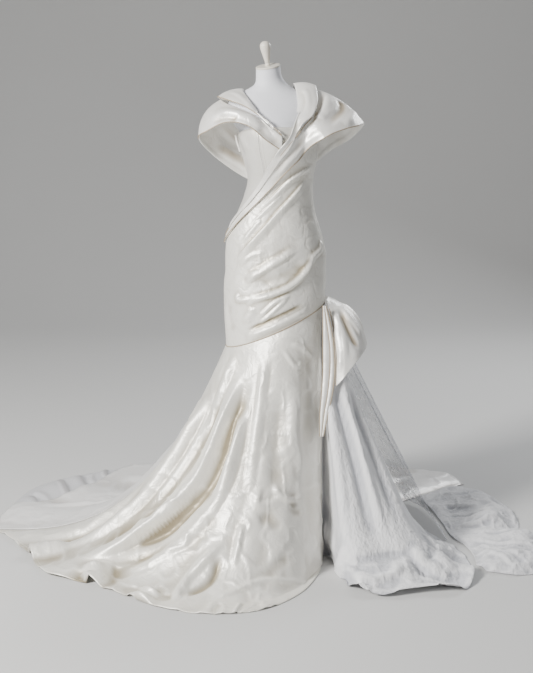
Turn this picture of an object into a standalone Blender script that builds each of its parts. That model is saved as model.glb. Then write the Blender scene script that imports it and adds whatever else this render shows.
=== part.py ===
"""Satin mermaid wedding dress with a portrait collar, standing on a limbless dress form.

The dress faces -Y and stands on z = 0, with the middle of the form's base at the origin.
Left and right are the viewer's, so left is -X.  Angles round the body are in degrees: 0 is the
front, 90 the right side, 180 the back and -90 the left side.  Every cloth piece is an open
surface, worked out from the garment's own rings and its table of sections, with a wall of cloth.
"""
import bmesh
import bpy
import math
from mathutils import Vector

# ---- driving sizes, in metres -------------------------------------------------------------
CLOTH = 0.002            # thickness of a cloth wall
THIN_CLOTH = 0.0012      # thickness of the veil's, the sash's and the loop's
SEAM = 0.0003            # gap between two hard pieces that touch
SEWN = 0.0007            # gap between the outer faces of two cloths sewn edge to edge
HIP_SEAM = 0.0014        # the same at the seam of the drape and the skirt, which curves
FLOOR_REST = 0.0026      # height of the face of a cloth that lies on the floor

FORM_INSIDE = -0.014     # the form's skin, measured from the garment's rings
BODICE_LIFT = -0.005     # layers over the body, from the inside out
DRAPE_LIFT = 0.0
LEFT_COLLAR_LIFT = 0.003
RIGHT_COLLAR_LIFT = 0.006
BAND_LIFT = 0.0105
FAN_LIFT = 0.0080
UNDERSKIRT_LIFT = -0.009
OVERLAY_LIFT = 0.004

COLLAR_HEART = Vector((-0.01, 0.0, 1.38))    # the collar swells away from here
FAN_HEART = Vector((0.10, -0.02, 0.62))      # and the hip fan from here

BASE_RADIUS = 0.165
BASE_HEIGHT = 0.014
POLE_RADIUS = 0.016
FORM_BOTTOM = 0.86
CAP_HEIGHT = 0.006
NECK_LEAN = 8.0          # degrees: the neck leans to the left
NECK_NOD = 10.0          # degrees: the neck's cut slopes down to the front

SATIN = (0.86, 0.85, 0.80)
ORGANZA = (0.80, 0.80, 0.81)
TULLE = (0.74, 0.75, 0.78)
FORM_WHITE = (0.86, 0.87, 0.90)
CAP_IVORY = (0.84, 0.80, 0.72)
POLE_GREY = (0.55, 0.55, 0.56)


def rows(columns, *lines):
    """A table: each line of numbers becomes a row with named columns and its own number."""
    names = columns.split()
    return [dict(zip(names, line), number=n) for n, line in enumerate(lines)]


# ---- the garment's rings: half widths to the left and right of x = 0, depths front and back ----
BODY = rows(
    "height left right front back",
    (0.60, -0.165, 0.165, 0.130, 0.140),
    (0.70, -0.165, 0.165, 0.130, 0.145),
    (0.80, -0.170, 0.165, 0.135, 0.150),
    (0.90, -0.170, 0.170, 0.130, 0.160),
    (0.95, -0.165, 0.170, 0.125, 0.165),
    (1.00, -0.165, 0.170, 0.120, 0.160),
    (1.05, -0.160, 0.160, 0.115, 0.150),
    (1.10, -0.145, 0.145, 0.110, 0.130),
    (1.15, -0.125, 0.130, 0.100, 0.115),
    (1.20, -0.105, 0.125, 0.100, 0.100),
    (1.25, -0.095, 0.125, 0.105, 0.090),
    (1.30, -0.105, 0.135, 0.130, 0.095),
    (1.35, -0.120, 0.140, 0.148, 0.100),
    (1.40, -0.130, 0.145, 0.150, 0.105),
    (1.47, -0.150, 0.140, 0.110, 0.100),
)

# The form above the bodice: chest, shoulders and neck.  share is how much of the neck's slope a
# ring has.
SHOULDERS = rows(
    "height left right front back share",
    (1.44, -0.138, 0.130, 0.117, 0.092, 0.0),
    (1.465, -0.147, 0.130, 0.094, 0.086, 0.0),
    (1.49, -0.152, 0.126, 0.072, 0.078, 0.0),
    (1.508, -0.144, 0.113, 0.060, 0.068, 0.0),
    (1.522, -0.124, 0.093, 0.052, 0.059, 0.0),
    (1.533, -0.102, 0.073, 0.047, 0.051, 0.1),
    (1.545, -0.080, 0.050, 0.044, 0.044, 0.2),
    (1.555, -0.068, 0.036, 0.042, 0.042, 0.4),
    (1.567, -0.063, 0.026, 0.040, 0.040, 0.6),
    (1.580, -0.062, 0.020, 0.039, 0.039, 0.8),
    (1.607, -0.062, 0.016, 0.039, 0.039, 1.0),
)

# Turned profiles: distance from the axis at a height above the piece's foot.
FINIAL = rows(
    "radius height",
    (0.0, 0.0775),
    (0.006, 0.0770),
    (0.012, 0.0735),
    (0.0160, 0.0675),
    (0.0170, 0.0600),
    (0.0160, 0.0510),
    (0.0130, 0.0360),
    (0.0100, 0.0220),
    (0.0082, 0.0140),
    (0.0082, 0.0105),
    (0.0070, 0.0090),
    (0.0070, 0.0065),
    (0.0085, 0.0050),
    (0.0085, 0.0),
    (0.0, 0.0),
)

# The drape's upper edge runs under the collar's band, and its lower edge is the skirt's seam.
# Both are lowest at the left side and climb to the right side, over the front and over the back.
BAND_LOW = 1.050
BAND_HIGH = 1.390
BAND_FRONT_BOW = 1.25    # above 1 an edge hangs below a plain slope
BAND_BACK_BOW = 1.5
HIP_SEAM_LOW = 0.690
HIP_SEAM_HIGH = 0.838
HIP_SEAM_BOW = 1.15
BAND_LAP = 0.010         # how far the band reaches down over the drape
BAND_LEFT_DEPTH = 0.024  # from the band's upper to its lower edge, at the left side
BAND_FRONT_DEPTH = 0.085 # and where it opens into the right collar
BAND_STEP = 15           # degrees between the band's sections
BAND_CROWN = 0.001
BAND_INNER_LOW = 0.75    # the inner collar's strip on the band, as shares of the band's depth
BAND_INNER_HIGH = 1.20
BAND_INNER_SKIP = 1      # it starts this many sections in from the left side
BAND_END = 30            # direction in which the band opens into the collar
DEGREE_ROUND = 0.0026    # how far one degree goes round the hips
FOLD_STEPS = 16

# Folds of the hip drape.  A fold runs from one direction round the body (0 the front, 90 the
# right, 180 the back) to another; down_a and down_b are how far down the drape it is there, as
# shares of its depth, and sag is how much lower its middle hangs.  A negative size is a hollow.
DRAPE_FOLDS = rows(
    "angle_a down_a angle_b down_b sag width size",
    (75, 0.12, -30, 0.06, 0.000, 0.013, 0.0055),
    (70, 0.20, -55, 0.28, 0.000, 0.014, 0.0065),
    (70, 0.60, 30, 0.60, 0.010, 0.014, 0.0070),
    (30, 0.56, -40, 0.50, 0.005, 0.015, 0.0070),
    (50, 0.70, -45, 0.60, 0.055, 0.015, 0.0100),
    (-45, 0.62, -30, 0.80, 0.010, 0.015, 0.0060),
    (40, 0.92, -40, 0.88, 0.000, 0.015, 0.0075),
    (-65, 0.28, -60, 0.85, 0.000, 0.018, 0.0045),
    (115, 0.20, 250, 0.30, 0.020, 0.018, 0.0065),
    (110, 0.48, 245, 0.50, 0.025, 0.018, 0.0070),
    (110, 0.72, 250, 0.75, 0.025, 0.018, 0.0070),
)

# The princess lines and side seams of the strapless bodice, and how high its top edge is.
BODICE_PANELS = rows(
    "start end top_start top_end",
    (-28, 45, 1.424, 1.424),
    (-88, -28, 1.392, 1.424),
    (45, 88, 1.424, 1.398),
    (88, 180, 1.398, 1.285),
    (180, 272, 1.285, 1.392),
)
BODICE_UNDERLAP = 0.045  # how far the bodice goes down behind the drape's upper edge
BODICE_TUCK = 0.0015     # and how much closer to the form it is there

# Collar pieces: each row is one section, cut straight out from the neck in the direction turn
# (0 the front, 90 the right, 180 the back), with the distance from the neck's middle and the
# height of the piece's upper and of its lower edge.  crown is how far it swells between them,
# and held is 1 where it lies on the body.
COLLAR_ROW = "turn upper_reach upper_height lower_reach lower_height crown held"
SECTION = "upper_x upper_y upper_z lower_x lower_y lower_z crown held"
COLLAR_LEFT = rows(
    COLLAR_ROW,
    (-187.4, 0.110, 1.310, 0.110, 1.195, 0.002, 0),
    (-170, 0.112, 1.330, 0.112, 1.205, 0.003, 0),
    (-150, 0.125, 1.370, 0.130, 1.225, 0.006, 0),
    (-130, 0.145, 1.425, 0.170, 1.260, 0.010, 0),
    (-110, 0.165, 1.485, 0.220, 1.320, 0.018, 0),
    (-90, 0.175, 1.505, 0.250, 1.380, 0.023, 0),
    (-70, 0.165, 1.495, 0.230, 1.410, 0.019, 0),
    (-50, 0.145, 1.480, 0.200, 1.440, 0.012, 0),
    (-30, 0.130, 1.460, 0.175, 1.430, 0.009, 0),
    (-10, 0.130, 1.430, 0.165, 1.385, 0.006, 0),
    (8, 0.155, 1.395, 0.165, 1.350, 0.001, 1),
)
COLLAR_LEFT_INNER = rows(
    COLLAR_ROW,
    (-187.4, 0.118, 1.350, 0.118, 1.300, 0.001, 0),
    (-170, 0.118, 1.385, 0.119, 1.325, 0.002, 0),
    (-150, 0.115, 1.445, 0.142, 1.380, 0.003, 0),
    (-130, 0.110, 1.500, 0.162, 1.445, 0.005, 0),
    (-110, 0.105, 1.530, 0.178, 1.490, 0.007, 0),
    (-90, 0.105, 1.540, 0.186, 1.513, 0.008, 0),
    (-70, 0.107, 1.530, 0.170, 1.508, 0.006, 0),
    (-50, 0.107, 1.505, 0.140, 1.492, 0.004, 0),
    (-30, 0.112, 1.472, 0.128, 1.468, 0.003, 0),
    (-10, 0.132, 1.437, 0.138, 1.442, 0.002, 0),
    (7, 0.152, 1.405, 0.160, 1.400, 0.001, 0),
)
# The right collar goes on from the band that crosses the front.
COLLAR_RIGHT = rows(
    COLLAR_ROW,
    (45, 0.155, 1.445, 0.215, 1.390, 0.008, 0),
    (60, 0.142, 1.470, 0.245, 1.415, 0.012, 0),
    (75, 0.130, 1.510, 0.275, 1.425, 0.016, 0),
    (90, 0.122, 1.540, 0.290, 1.425, 0.020, 0),
    (105, 0.125, 1.520, 0.260, 1.375, 0.020, 0),
    (120, 0.130, 1.485, 0.210, 1.330, 0.015, 0),
    (135, 0.130, 1.435, 0.160, 1.270, 0.008, 0),
    (150, 0.120, 1.380, 0.128, 1.225, 0.005, 0),
    (172, 0.110, 1.310, 0.110, 1.195, 0.002, 0),
)
COLLAR_RIGHT_INNER = rows(
    COLLAR_ROW,
    (30, 0.125, 1.450, 0.160, 1.430, 0.003, 0),
    (45, 0.100, 1.485, 0.168, 1.462, 0.006, 0),
    (60, 0.080, 1.520, 0.155, 1.495, 0.009, 0),
    (75, 0.066, 1.545, 0.140, 1.528, 0.009, 0),
    (90, 0.060, 1.557, 0.130, 1.551, 0.007, 0),
    (110, 0.062, 1.550, 0.135, 1.532, 0.008, 0),
    (130, 0.076, 1.530, 0.145, 1.470, 0.007, 0),
    (150, 0.100, 1.470, 0.138, 1.390, 0.004, 0),
    (172, 0.118, 1.350, 0.118, 1.300, 0.001, 0),
)

# The skirt: each row is one line from the seam to the hem.  reach is the share of the way, seen
# from above, at which the line meets the floor, and fall is how hollow it is on the way down.
SKIRT_ROW = "angle hem_x hem_y reach fall rest puff"
SKIRT_FRONT = rows(
    SKIRT_ROW,
    (-100, -0.985, 0.060, 1.00, 2.90, 0.0, 0.0),
    (-88, -0.905, -0.050, 1.00, 2.60, 0.0, 0.0),
    (-76, -0.835, -0.160, 1.00, 2.30, 0.0, 0.0),
    (-64, -0.750, -0.330, 0.98, 2.10, 0.0, 0.0),
    (-52, -0.630, -0.390, 0.96, 1.95, 0.0, 0.0),
    (-40, -0.500, -0.475, 0.94, 1.90, 0.0, 0.0),
    (-27, -0.365, -0.580, 0.92, 1.85, 0.0, 0.0),
    (-14, -0.245, -0.625, 0.90, 1.80, 0.0, 0.0),
    (0, -0.130, -0.630, 0.88, 1.75, 0.0, 0.0),
    (16, -0.015, -0.585, 0.88, 1.70, 0.0, 0.0),
    (32, 0.085, -0.470, 0.90, 1.60, 0.0, 0.0),
    (46, 0.140, -0.330, 0.94, 1.40, 0.0, 0.0),
    (58, 0.155, -0.240, 0.98, 1.20, 0.0, 0.0),
    (68, 0.160, -0.190, 1.00, 1.10, 0.0, 0.0),
)
SKIRT_BACK = rows(
    SKIRT_ROW,
    (-234, 0.745, 0.545, 0.55, 1.40, 0.0, 0.0),
    (-222, 0.650, 0.680, 0.60, 1.50, 0.0, 0.0),
    (-208, 0.380, 0.760, 0.72, 1.80, 0.0, 0.0),
    (-190, 0.020, 0.780, 0.80, 2.10, 0.0, 0.0),
    (-172, -0.360, 0.760, 0.84, 2.40, 0.0, 0.0),
    (-158, -0.600, 0.665, 0.88, 2.70, 0.009, 0.0),
    (-146, -0.705, 0.475, 0.90, 3.00, 0.009, 0.0),
    (-134, -0.800, 0.355, 0.92, 3.10, 0.009, 0.0),
    (-122, -0.945, 0.270, 0.94, 3.10, 0.009, 0.0),
    (-110, -0.990, 0.150, 0.98, 3.00, 0.0, 0.0),
    (-100.7, -0.986, 0.066, 1.00, 2.90, 0.0, 0.0),
)

# Folds of the skirt: the crest's angle at the seam and at the hem, its width in degrees at each
# end, where along the line it starts and where it is full, and its height.
SKIRT_FOLDS = rows(
    "seam hem wide_seam wide_hem start full height",
    (-82, -92, 6, 8, 0.10, 0.60, 0.028),
    (-62, -73, 6, 7, 0.12, 0.70, 0.028),
    (-43, -60, 6, 7, 0.10, 0.60, 0.036),
    (-33, -51, 5, 6, 0.15, 0.60, -0.020),
    (-24, -42, 5, 6, 0.10, 0.60, 0.026),
    (-10, -24, 5, 6, 0.05, 0.60, 0.016),
    (6, -6, 5, 6, 0.10, 0.65, 0.018),
    (22, 14, 5, 7, 0.05, 0.55, 0.014),
    (44, 38, 6, 8, 0.10, 0.55, -0.016),
    (-112, -118, 7, 8, 0.10, 0.60, 0.036),
    (-134, -142, 7, 8, 0.10, 0.60, 0.038),
    (-158, -162, 8, 9, 0.10, 0.60, 0.042),
    (-182, -184, 8, 9, 0.10, 0.60, 0.046),
    (-206, -204, 8, 9, 0.10, 0.60, 0.042),
    (-228, -226, 5, 6, 0.10, 0.60, 0.026),
)

# Tulle: the same kind of rows.  puff is how high the cloth billows before its hem.
TULLE_UNDERSKIRT = rows(
    SKIRT_ROW,
    (69, 0.150, -0.165, 1.00, 1.10, 0.0, 0.0),
    (70.5, 0.176, -0.178, 0.95, 1.15, 0.0, 0.0),
    (73, 0.206, -0.260, 0.82, 1.20, 0.0, 0.020),
    (77, 0.240, -0.450, 0.76, 1.20, 0.0, 0.040),
    (82, 0.330, -0.510, 0.76, 1.20, 0.0, 0.050),
    (87, 0.470, -0.480, 0.76, 1.20, 0.0, 0.050),
    (93, 0.590, -0.465, 0.76, 1.20, 0.0, 0.048),
    (98, 0.640, -0.370, 0.76, 1.20, 0.0, 0.045),
    (102, 0.648, -0.250, 0.76, 1.20, 0.0, 0.040),
    (106, 0.625, -0.130, 0.78, 1.20, 0.0, 0.030),
    (111, 0.565, -0.030, 0.80, 1.20, 0.0, 0.012),
    (117, 0.510, 0.050, 0.80, 1.20, 0.0, 0.0),
    (122, 0.450, 0.110, 0.80, 1.20, 0.0, 0.0),
)
TULLE_OVERLAY = rows(
    SKIRT_ROW,
    (97, 0.600, -0.050, 0.99, 1.05, 0.004, 0.0),
    (104, 0.592, 0.060, 0.99, 1.04, 0.004, 0.0),
    (112, 0.572, 0.190, 0.99, 1.04, 0.006, 0.0),
    (117, 0.545, 0.280, 0.99, 1.06, 0.008, 0.0),
    (121, 0.500, 0.345, 0.99, 1.10, 0.010, 0.0),
)
TULLE_FOLDS = rows(
    "seam hem wide_seam wide_hem start full height",
    (81, 81, 3, 3, 0.15, 0.60, 0.020),
    (87, 89, 3, 3, 0.15, 0.60, 0.022),
    (95, 97, 3, 3, 0.15, 0.60, 0.018),
    (102, 103, 2, 2, 0.15, 0.60, 0.010),
)

# Pieces that lie on the floor: rows from the inner edge, next to the skirt, to the outer edge.
FLOOR_ROW = "inner_x inner_y inner_z outer_x outer_y hump"
TULLE_TRAIN = rows(
    FLOOR_ROW,
    (0.664, -0.262, 0.006, 0.690, -0.310, 0.006),
    (0.668, -0.205, 0.006, 0.795, -0.340, 0.020),
    (0.664, -0.145, 0.006, 0.885, -0.300, 0.036),
    (0.650, -0.085, 0.006, 0.960, -0.190, 0.044),
    (0.625, -0.030, 0.006, 0.945, -0.065, 0.040),
    (0.612, 0.030, 0.006, 0.870, 0.030, 0.026),
    (0.606, 0.100, 0.006, 0.880, 0.130, 0.036),
    (0.594, 0.180, 0.006, 0.880, 0.240, 0.044),
    (0.578, 0.260, 0.010, 0.845, 0.365, 0.040),
    (0.560, 0.330, 0.014, 0.800, 0.465, 0.032),
    (0.552, 0.380, 0.016, 0.745, 0.505, 0.018),
)
UNDERSKIRT_TRAIN = rows(
    FLOOR_ROW,
    (-0.918, 0.235, 0.0026, -0.975, 0.280, 0.003),
    (-0.855, 0.295, 0.0026, -0.965, 0.370, 0.012),
    (-0.785, 0.342, 0.0026, -0.930, 0.490, 0.020),
    (-0.725, 0.410, 0.0026, -0.860, 0.585, 0.024),
    (-0.680, 0.490, 0.0026, -0.770, 0.650, 0.022),
    (-0.630, 0.590, 0.0026, -0.685, 0.700, 0.012),
    (-0.580, 0.668, 0.0026, -0.610, 0.730, 0.003),
)

# The fan at the right hip: each row is a fold from the gather at the seam to the fan's hem, with
# their directions (90 the right), the hem's distance from the body's middle, and their heights.
FAN_GATHER_REACH = 0.177
FAN_ROW = "gather_turn gather_height hem_turn hem_reach hem_height crown"
HIP_FAN = rows(
    FAN_ROW,
    (78, 0.850, 53, 0.250, 0.585, 0.018),
    (80, 0.852, 54, 0.265, 0.600, 0.022),
    (83, 0.854, 57, 0.280, 0.625, 0.024),
    (87, 0.856, 65, 0.300, 0.665, 0.026),
    (91, 0.856, 76, 0.310, 0.690, 0.028),
    (96, 0.854, 88, 0.310, 0.700, 0.030),
    (102, 0.850, 101, 0.305, 0.690, 0.028),
    (109, 0.845, 112, 0.300, 0.670, 0.022),
    (116, 0.838, 122, 0.280, 0.660, 0.014),
)
# The sash's two hanging pleats, from the tip up: the edges of both at each height.
SASH = rows(
    "height left middle right depth",
    (0.42, 0.148, 0.154, 0.160, -0.175),
    (0.49, 0.148, 0.162, 0.175, -0.158),
    (0.56, 0.154, 0.174, 0.190, -0.142),
    (0.63, 0.158, 0.181, 0.198, -0.124),
    (0.70, 0.158, 0.181, 0.195, -0.110),
    (0.77, 0.158, 0.173, 0.185, -0.098),
    (0.84, 0.158, 0.163, 0.169, -0.082),
)
SASH_PLEAT = 0.004       # how far each pleat bows forward

# The loop of ribbon inside the left armhole, by which the dress hangs when it is put away.
HANGER_LOOP = rows(
    "x y z",
    (-0.128, -0.052, 1.394),
    (-0.124, -0.066, 1.376),
    (-0.117, -0.078, 1.356),
    (-0.113, -0.084, 1.344),
)


# ---- reading tables and rings -----------------------------------------------------------------
def read(table, key, at):
    """Every column at any value of the key column, on a smooth curve through the rows."""
    at = min(max(at, table[0][key]), table[-1][key])
    i = next(n for n in range(len(table) - 1) if at <= table[n + 1][key])
    low, high = table[i], table[i + 1]
    before, after = table[max(i - 1, 0)], table[min(i + 2, len(table) - 1)]
    span = high[key] - low[key]
    s = (at - low[key]) / span
    values = {}
    for name in low:
        leave = (high[name] - before[name]) / (high[key] - before[key]) * span
        arrive = (after[name] - low[name]) / (after[key] - low[key]) * span
        values[name] = (
            (2 * s**3 - 3 * s**2 + 1) * low[name]
            + (s**3 - 2 * s**2 + s) * leave
            + (3 * s**2 - 2 * s**3) * high[name]
            + (s**3 - s**2) * arrive
        )
    return values


def ease(value):
    """A smooth step from 0 to 1."""
    value = min(max(value, 0.0), 1.0)
    return value * value * (3 - 2 * value)


def on_body(angle, height, lift=0.0):
    """A place on the garment's ring at a height, moved out by lift."""
    ring = read(BODY, "height", height)
    turn = math.radians(angle)
    depth = (ring["front"] if math.cos(turn) > 0 else ring["back"]) + lift
    half = (ring["right"] - ring["left"]) / 2 + lift
    middle = (ring["right"] + ring["left"]) / 2
    return Vector((middle + half * math.sin(turn), -depth * math.cos(turn), height))


def pressed(point, lift):
    """The place on the body under a point, and how far out the point is as a share of the ring."""
    ring = read(BODY, "height", point.z)
    depth = (ring["front"] if point.y < 0 else ring["back"]) + lift
    half = (ring["right"] - ring["left"]) / 2 + lift
    middle = (ring["right"] + ring["left"]) / 2
    across = (point.x - middle) / half
    along = point.y / depth
    share = max(math.hypot(across, along), 1e-6)
    return Vector((middle + half * across / share, depth * along / share, point.z)), share


def drape_angle(angle):
    """The same direction, between -90 and 270 degrees."""
    return (angle + 90) % 360 - 90


def drape_top(angle):
    """Height of the drape's upper edge in a direction from -90 to 270 degrees."""
    if angle <= 90:
        climb = math.sin(math.radians((angle + 90) / 2)) ** BAND_FRONT_BOW
    else:
        climb = ((270 - angle) / 180) ** BAND_BACK_BOW
    return BAND_LOW + (BAND_HIGH - BAND_LOW) * climb


def drape_foot(angle):
    """Height of the drape's lower edge, the skirt's seam, in the same directions."""
    climb = ease((angle + 90) / 180) if angle <= 90 else (270 - angle) / 180
    return HIP_SEAM_LOW + (HIP_SEAM_HIGH - HIP_SEAM_LOW) * climb**HIP_SEAM_BOW


def seam_point(angle, lift):
    """A place on the seam between the drape and the skirt."""
    height = drape_foot(drape_angle(angle))
    return on_body(angle, height - HIP_SEAM, lift)


# ---- surfaces: each takes two shares from 0 to 1 and gives a place ----------------------------
def crest(share):
    """The rounded profile of a fold, 1 on its crest and 0 from one width away."""
    return (1 - share * share) ** 2 if abs(share) < 1 else 0.0


def drape_relief(angle, height):
    """How far the drape's folds stand out at a place."""
    here = Vector((angle * DEGREE_ROUND, height))
    relief = 0.0
    for fold in DRAPE_FOLDS:
        best = 1.0
        for n in range(FOLD_STEPS + 1):
            s = n / FOLD_STEPS
            on_fold = fold["angle_a"] + (fold["angle_b"] - fold["angle_a"]) * s
            down = fold["down_a"] + (fold["down_b"] - fold["down_a"]) * s
            top, foot = drape_top(on_fold), drape_foot(on_fold)
            level = top + (foot - top) * down - fold["sag"] * 4 * s * (1 - s)
            best = min(best, (Vector((on_fold * DEGREE_ROUND, level)) - here).length)
        relief += fold["size"] * crest(best / (fold["width"] * 1.8))
    return relief


def drape(start, end):
    """The drape between two side seams."""

    def place(u, v):
        angle = start + (end - start) * u
        top = drape_top(angle)
        foot = drape_foot(angle)
        height = top + (foot - top) * v
        calm = ease((top - height) / 0.035) * ease((height - foot) / 0.02)
        calm *= ease(u / 0.05) * ease((1 - u) / 0.05)
        return on_body(angle, height, DRAPE_LIFT + calm * drape_relief(angle, height))

    return place


def bodice(panel):
    """One panel of the strapless bodice, from its top edge to behind the drape."""
    seam = math.degrees(SEWN / 0.12)

    def place(u, v):
        angle = panel["start"] + (panel["end"] - panel["start"] - seam) * u
        top = panel["top_start"] + (panel["top_end"] - panel["top_start"]) * u
        foot = drape_top(drape_angle(angle)) - BODICE_UNDERLAP
        foot = min(foot, top - 0.03)
        return on_body(angle, top + (foot - top) * v, BODICE_LIFT - BODICE_TUCK * v)

    return place


def around_neck(table):
    """A collar's sections, from directions and distances to places."""
    sections = []
    for row in table:
        turn = math.radians(row["turn"])
        out = Vector((math.sin(turn), -math.cos(turn)))
        upper = (*out * row["upper_reach"], row["upper_height"])
        lower = (*out * row["lower_reach"], row["lower_height"])
        sections.append((*upper, *lower, row["crown"], row["held"]))
    return sections


def fan_sections(table):
    """The hip fan's sections, from directions and distances to places."""
    sections = []
    for row in table:
        gather, hem = math.radians(row["gather_turn"]), math.radians(row["hem_turn"])
        upper = Vector((math.sin(gather), -math.cos(gather))) * FAN_GATHER_REACH
        lower = Vector((math.sin(hem), -math.cos(hem))) * row["hem_reach"]
        sections.append((*upper, row["gather_height"], *lower, row["hem_height"], row["crown"], 0))
    return sections


def across_front(last, lower_share, upper_share):
    """Sections of the band that lies on the body along the drape's upper edge.

    The shares say where the strip's two edges are in the band's depth, 0 its lower edge."""
    sections = []
    for angle in range(-90, last + 1, BAND_STEP):
        depth = BAND_LEFT_DEPTH + (BAND_FRONT_DEPTH - BAND_LEFT_DEPTH) * (angle + 90) / (last + 90)
        hem = drape_top(angle) - BAND_LAP
        upper = on_body(angle, hem + depth * upper_share)
        lower = on_body(angle, hem + depth * lower_share)
        sections.append((*upper, *lower, BAND_CROWN, 1))
    return sections


def strip(table, lift, heart=COLLAR_HEART):
    """Cloth between an upper and a lower edge, from the table's first section to its last.

    It swells away from the place called heart, and stays clear of the body by lift."""

    def place(u, v):
        cut = read(table, "number", u * (len(table) - 1))
        upper = Vector((cut["upper_x"], cut["upper_y"], cut["upper_z"]))
        lower = Vector((cut["lower_x"], cut["lower_y"], cut["lower_z"]))
        point = upper.lerp(lower, v)
        fall = (lower - upper).normalized()
        out = point - heart
        out = (out - fall * out.dot(fall)).normalized()
        point += out * cut["crown"] * 4 * v * (1 - v)
        lying, share = pressed(point, lift)
        if share < 1 and point.z < BODY[-1]["height"]:
            return lying
        return point.lerp(lying, min(max(cut["held"], 0.0), 1.0))

    return place


def falling(table, lift, folds):
    """Cloth that falls from the hip seam to its hem and lies on the floor."""
    first, last = table[0]["angle"], table[-1]["angle"]

    def plain(angle, t):
        row = read(table, "angle", angle)
        top = seam_point(angle, lift)
        h = t**1.45
        foot = FLOOR_REST + row["rest"] * ease((t - 0.6) / 0.4)
        fall = max(0.0, 1 - h / row["reach"]) ** row["fall"]
        puff = row["puff"] * math.sin(math.pi * ease((h - 0.5) / 0.5)) ** 2
        return Vector((
            top.x + (row["hem_x"] - top.x) * h,
            top.y + (row["hem_y"] - top.y) * h,
            foot + (top.z - foot) * fall + puff,
        ))

    def place(u, v):
        angle = first + (last - first) * u
        here = plain(angle, v)
        if v == 0:
            return here
        side = plain(min(angle + 0.5, last), v) - plain(max(angle - 0.5, first), v)
        down = plain(angle, min(v + 0.01, 1)) - plain(angle, v - 0.01)
        out = down.cross(side).normalized()
        rise = 0.0
        for fold in folds:
            middle = fold["seam"] + (fold["hem"] - fold["seam"]) * v
            wide = (fold["wide_seam"] + (fold["wide_hem"] - fold["wide_seam"]) * v) * 1.7
            grow = ease((v - fold["start"]) / (fold["full"] - fold["start"]))
            rise += fold["height"] * grow * crest((angle - middle) / wide)
        calm = ease(u / 0.03) * ease((1 - u) / 0.03)
        here += out * rise * calm
        here.z = max(here.z, FLOOR_REST)
        return here

    return place


def lying(table):
    """Cloth that lies on the floor, humped between its inner and its outer edge."""

    def place(u, v):
        row = read(table, "number", u * (len(table) - 1))
        hump = row["hump"] * math.sin(math.pi * v**1.5) ** 1.3 if 0 < v < 1 else 0.0
        hump *= 0.85 + 0.15 * math.cos(u * math.tau * 5)
        return Vector((
            row["inner_x"] + (row["outer_x"] - row["inner_x"]) * v,
            row["inner_y"] + (row["outer_y"] - row["inner_y"]) * v,
            row["inner_z"] + (FLOOR_REST - row["inner_z"]) * v + hump,
        ))

    return place


def sash(left, right):
    """One hanging pleat of the sash, between two of the table's edges."""

    def place(u, v):
        row = read(SASH, "height", SASH[-1]["height"] + (SASH[0]["height"] - SASH[-1]["height"]) * v)
        width = row[right] - row[left] - SEWN
        bow = SASH_PLEAT * 4 * u * (1 - u)
        return Vector((row[left] + width * u, row["depth"] - bow, row["height"]))

    return place


# ---- making objects ---------------------------------------------------------------------------
def material(name, colour, roughness, metallic=0.0):
    made = bpy.data.materials.new(name)
    made.use_nodes = True
    shader = made.node_tree.nodes["Principled BSDF"]
    shader.inputs["Base Color"].default_value = (*colour, 1.0)
    shader.inputs["Roughness"].default_value = roughness
    shader.inputs["Metallic"].default_value = metallic
    return made


def new_object(name, mesh, collection, finish):
    item = bpy.data.objects.new(name, mesh)
    collection.objects.link(item)
    mesh.materials.append(finish)
    mesh.shade_smooth()
    return item


def cloth(name, place, across, down, collection, finish, thickness=CLOTH):
    """An open grid of a surface, given its wall on the inner side."""
    work = bmesh.new()
    grid = [[work.verts.new(place(i / across, j / down)) for j in range(down + 1)]
            for i in range(across + 1)]
    for left, right in zip(grid, grid[1:]):
        for j in range(down):
            work.faces.new((left[j], left[j + 1], right[j + 1], right[j]))
    mesh = bpy.data.meshes.new(name)
    work.to_mesh(mesh)
    work.free()
    item = new_object(name, mesh, collection, finish)
    wall = item.modifiers.new("Wall of cloth", "SOLIDIFY")
    wall.thickness = thickness
    wall.offset = -1.0
    return item


def form_rings():
    """The form's rings from its open lower end to the cut of its neck."""
    heights = [FORM_BOTTOM + 0.029 * n for n in range(20)]
    rings = []
    for height in heights:
        ring = read(BODY, "height", height)
        rings.append(dict(
            height=height,
            left=ring["left"] - FORM_INSIDE,
            right=ring["right"] + FORM_INSIDE,
            front=ring["front"] + FORM_INSIDE,
            back=ring["back"] + FORM_INSIDE,
            share=0.0,
        ))
    return rings + SHOULDERS


def neck_axis():
    """The way the neck points, square to its cut."""
    return Vector((
        -math.tan(math.radians(NECK_LEAN)), -math.tan(math.radians(NECK_NOD)), 1.0
    )).normalized()


def neck_centre():
    ring = SHOULDERS[-1]
    return Vector(((ring["left"] + ring["right"]) / 2, 0.0, ring["height"]))


def build_torso(collection, finish):
    sides = 32
    work = bmesh.new()
    loops = []
    for ring in form_rings():
        middle = (ring["left"] + ring["right"]) / 2
        half = (ring["right"] - ring["left"]) / 2
        loop = []
        for n in range(sides):
            turn = math.tau * n / sides
            depth = ring["front"] if math.cos(turn) > 0 else ring["back"]
            x = half * math.sin(turn)
            y = -depth * math.cos(turn)
            slope = math.tan(math.radians(NECK_LEAN)) * x + math.tan(math.radians(NECK_NOD)) * y
            loop.append(work.verts.new((middle + x, y, ring["height"] + ring["share"] * slope)))
        loops.append(loop)
    for lower, upper in zip(loops, loops[1:]):
        for n in range(sides):
            m = (n + 1) % sides
            work.faces.new((lower[n], lower[m], upper[m], upper[n]))
    work.faces.new(reversed(loops[0]))
    work.faces.new(loops[-1])
    mesh = bpy.data.meshes.new("form_torso")
    work.to_mesh(mesh)
    work.free()
    item = new_object("form_torso", mesh, collection, finish)
    mesh.set_sharp_from_angle(angle=math.radians(50))
    return item


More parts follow.
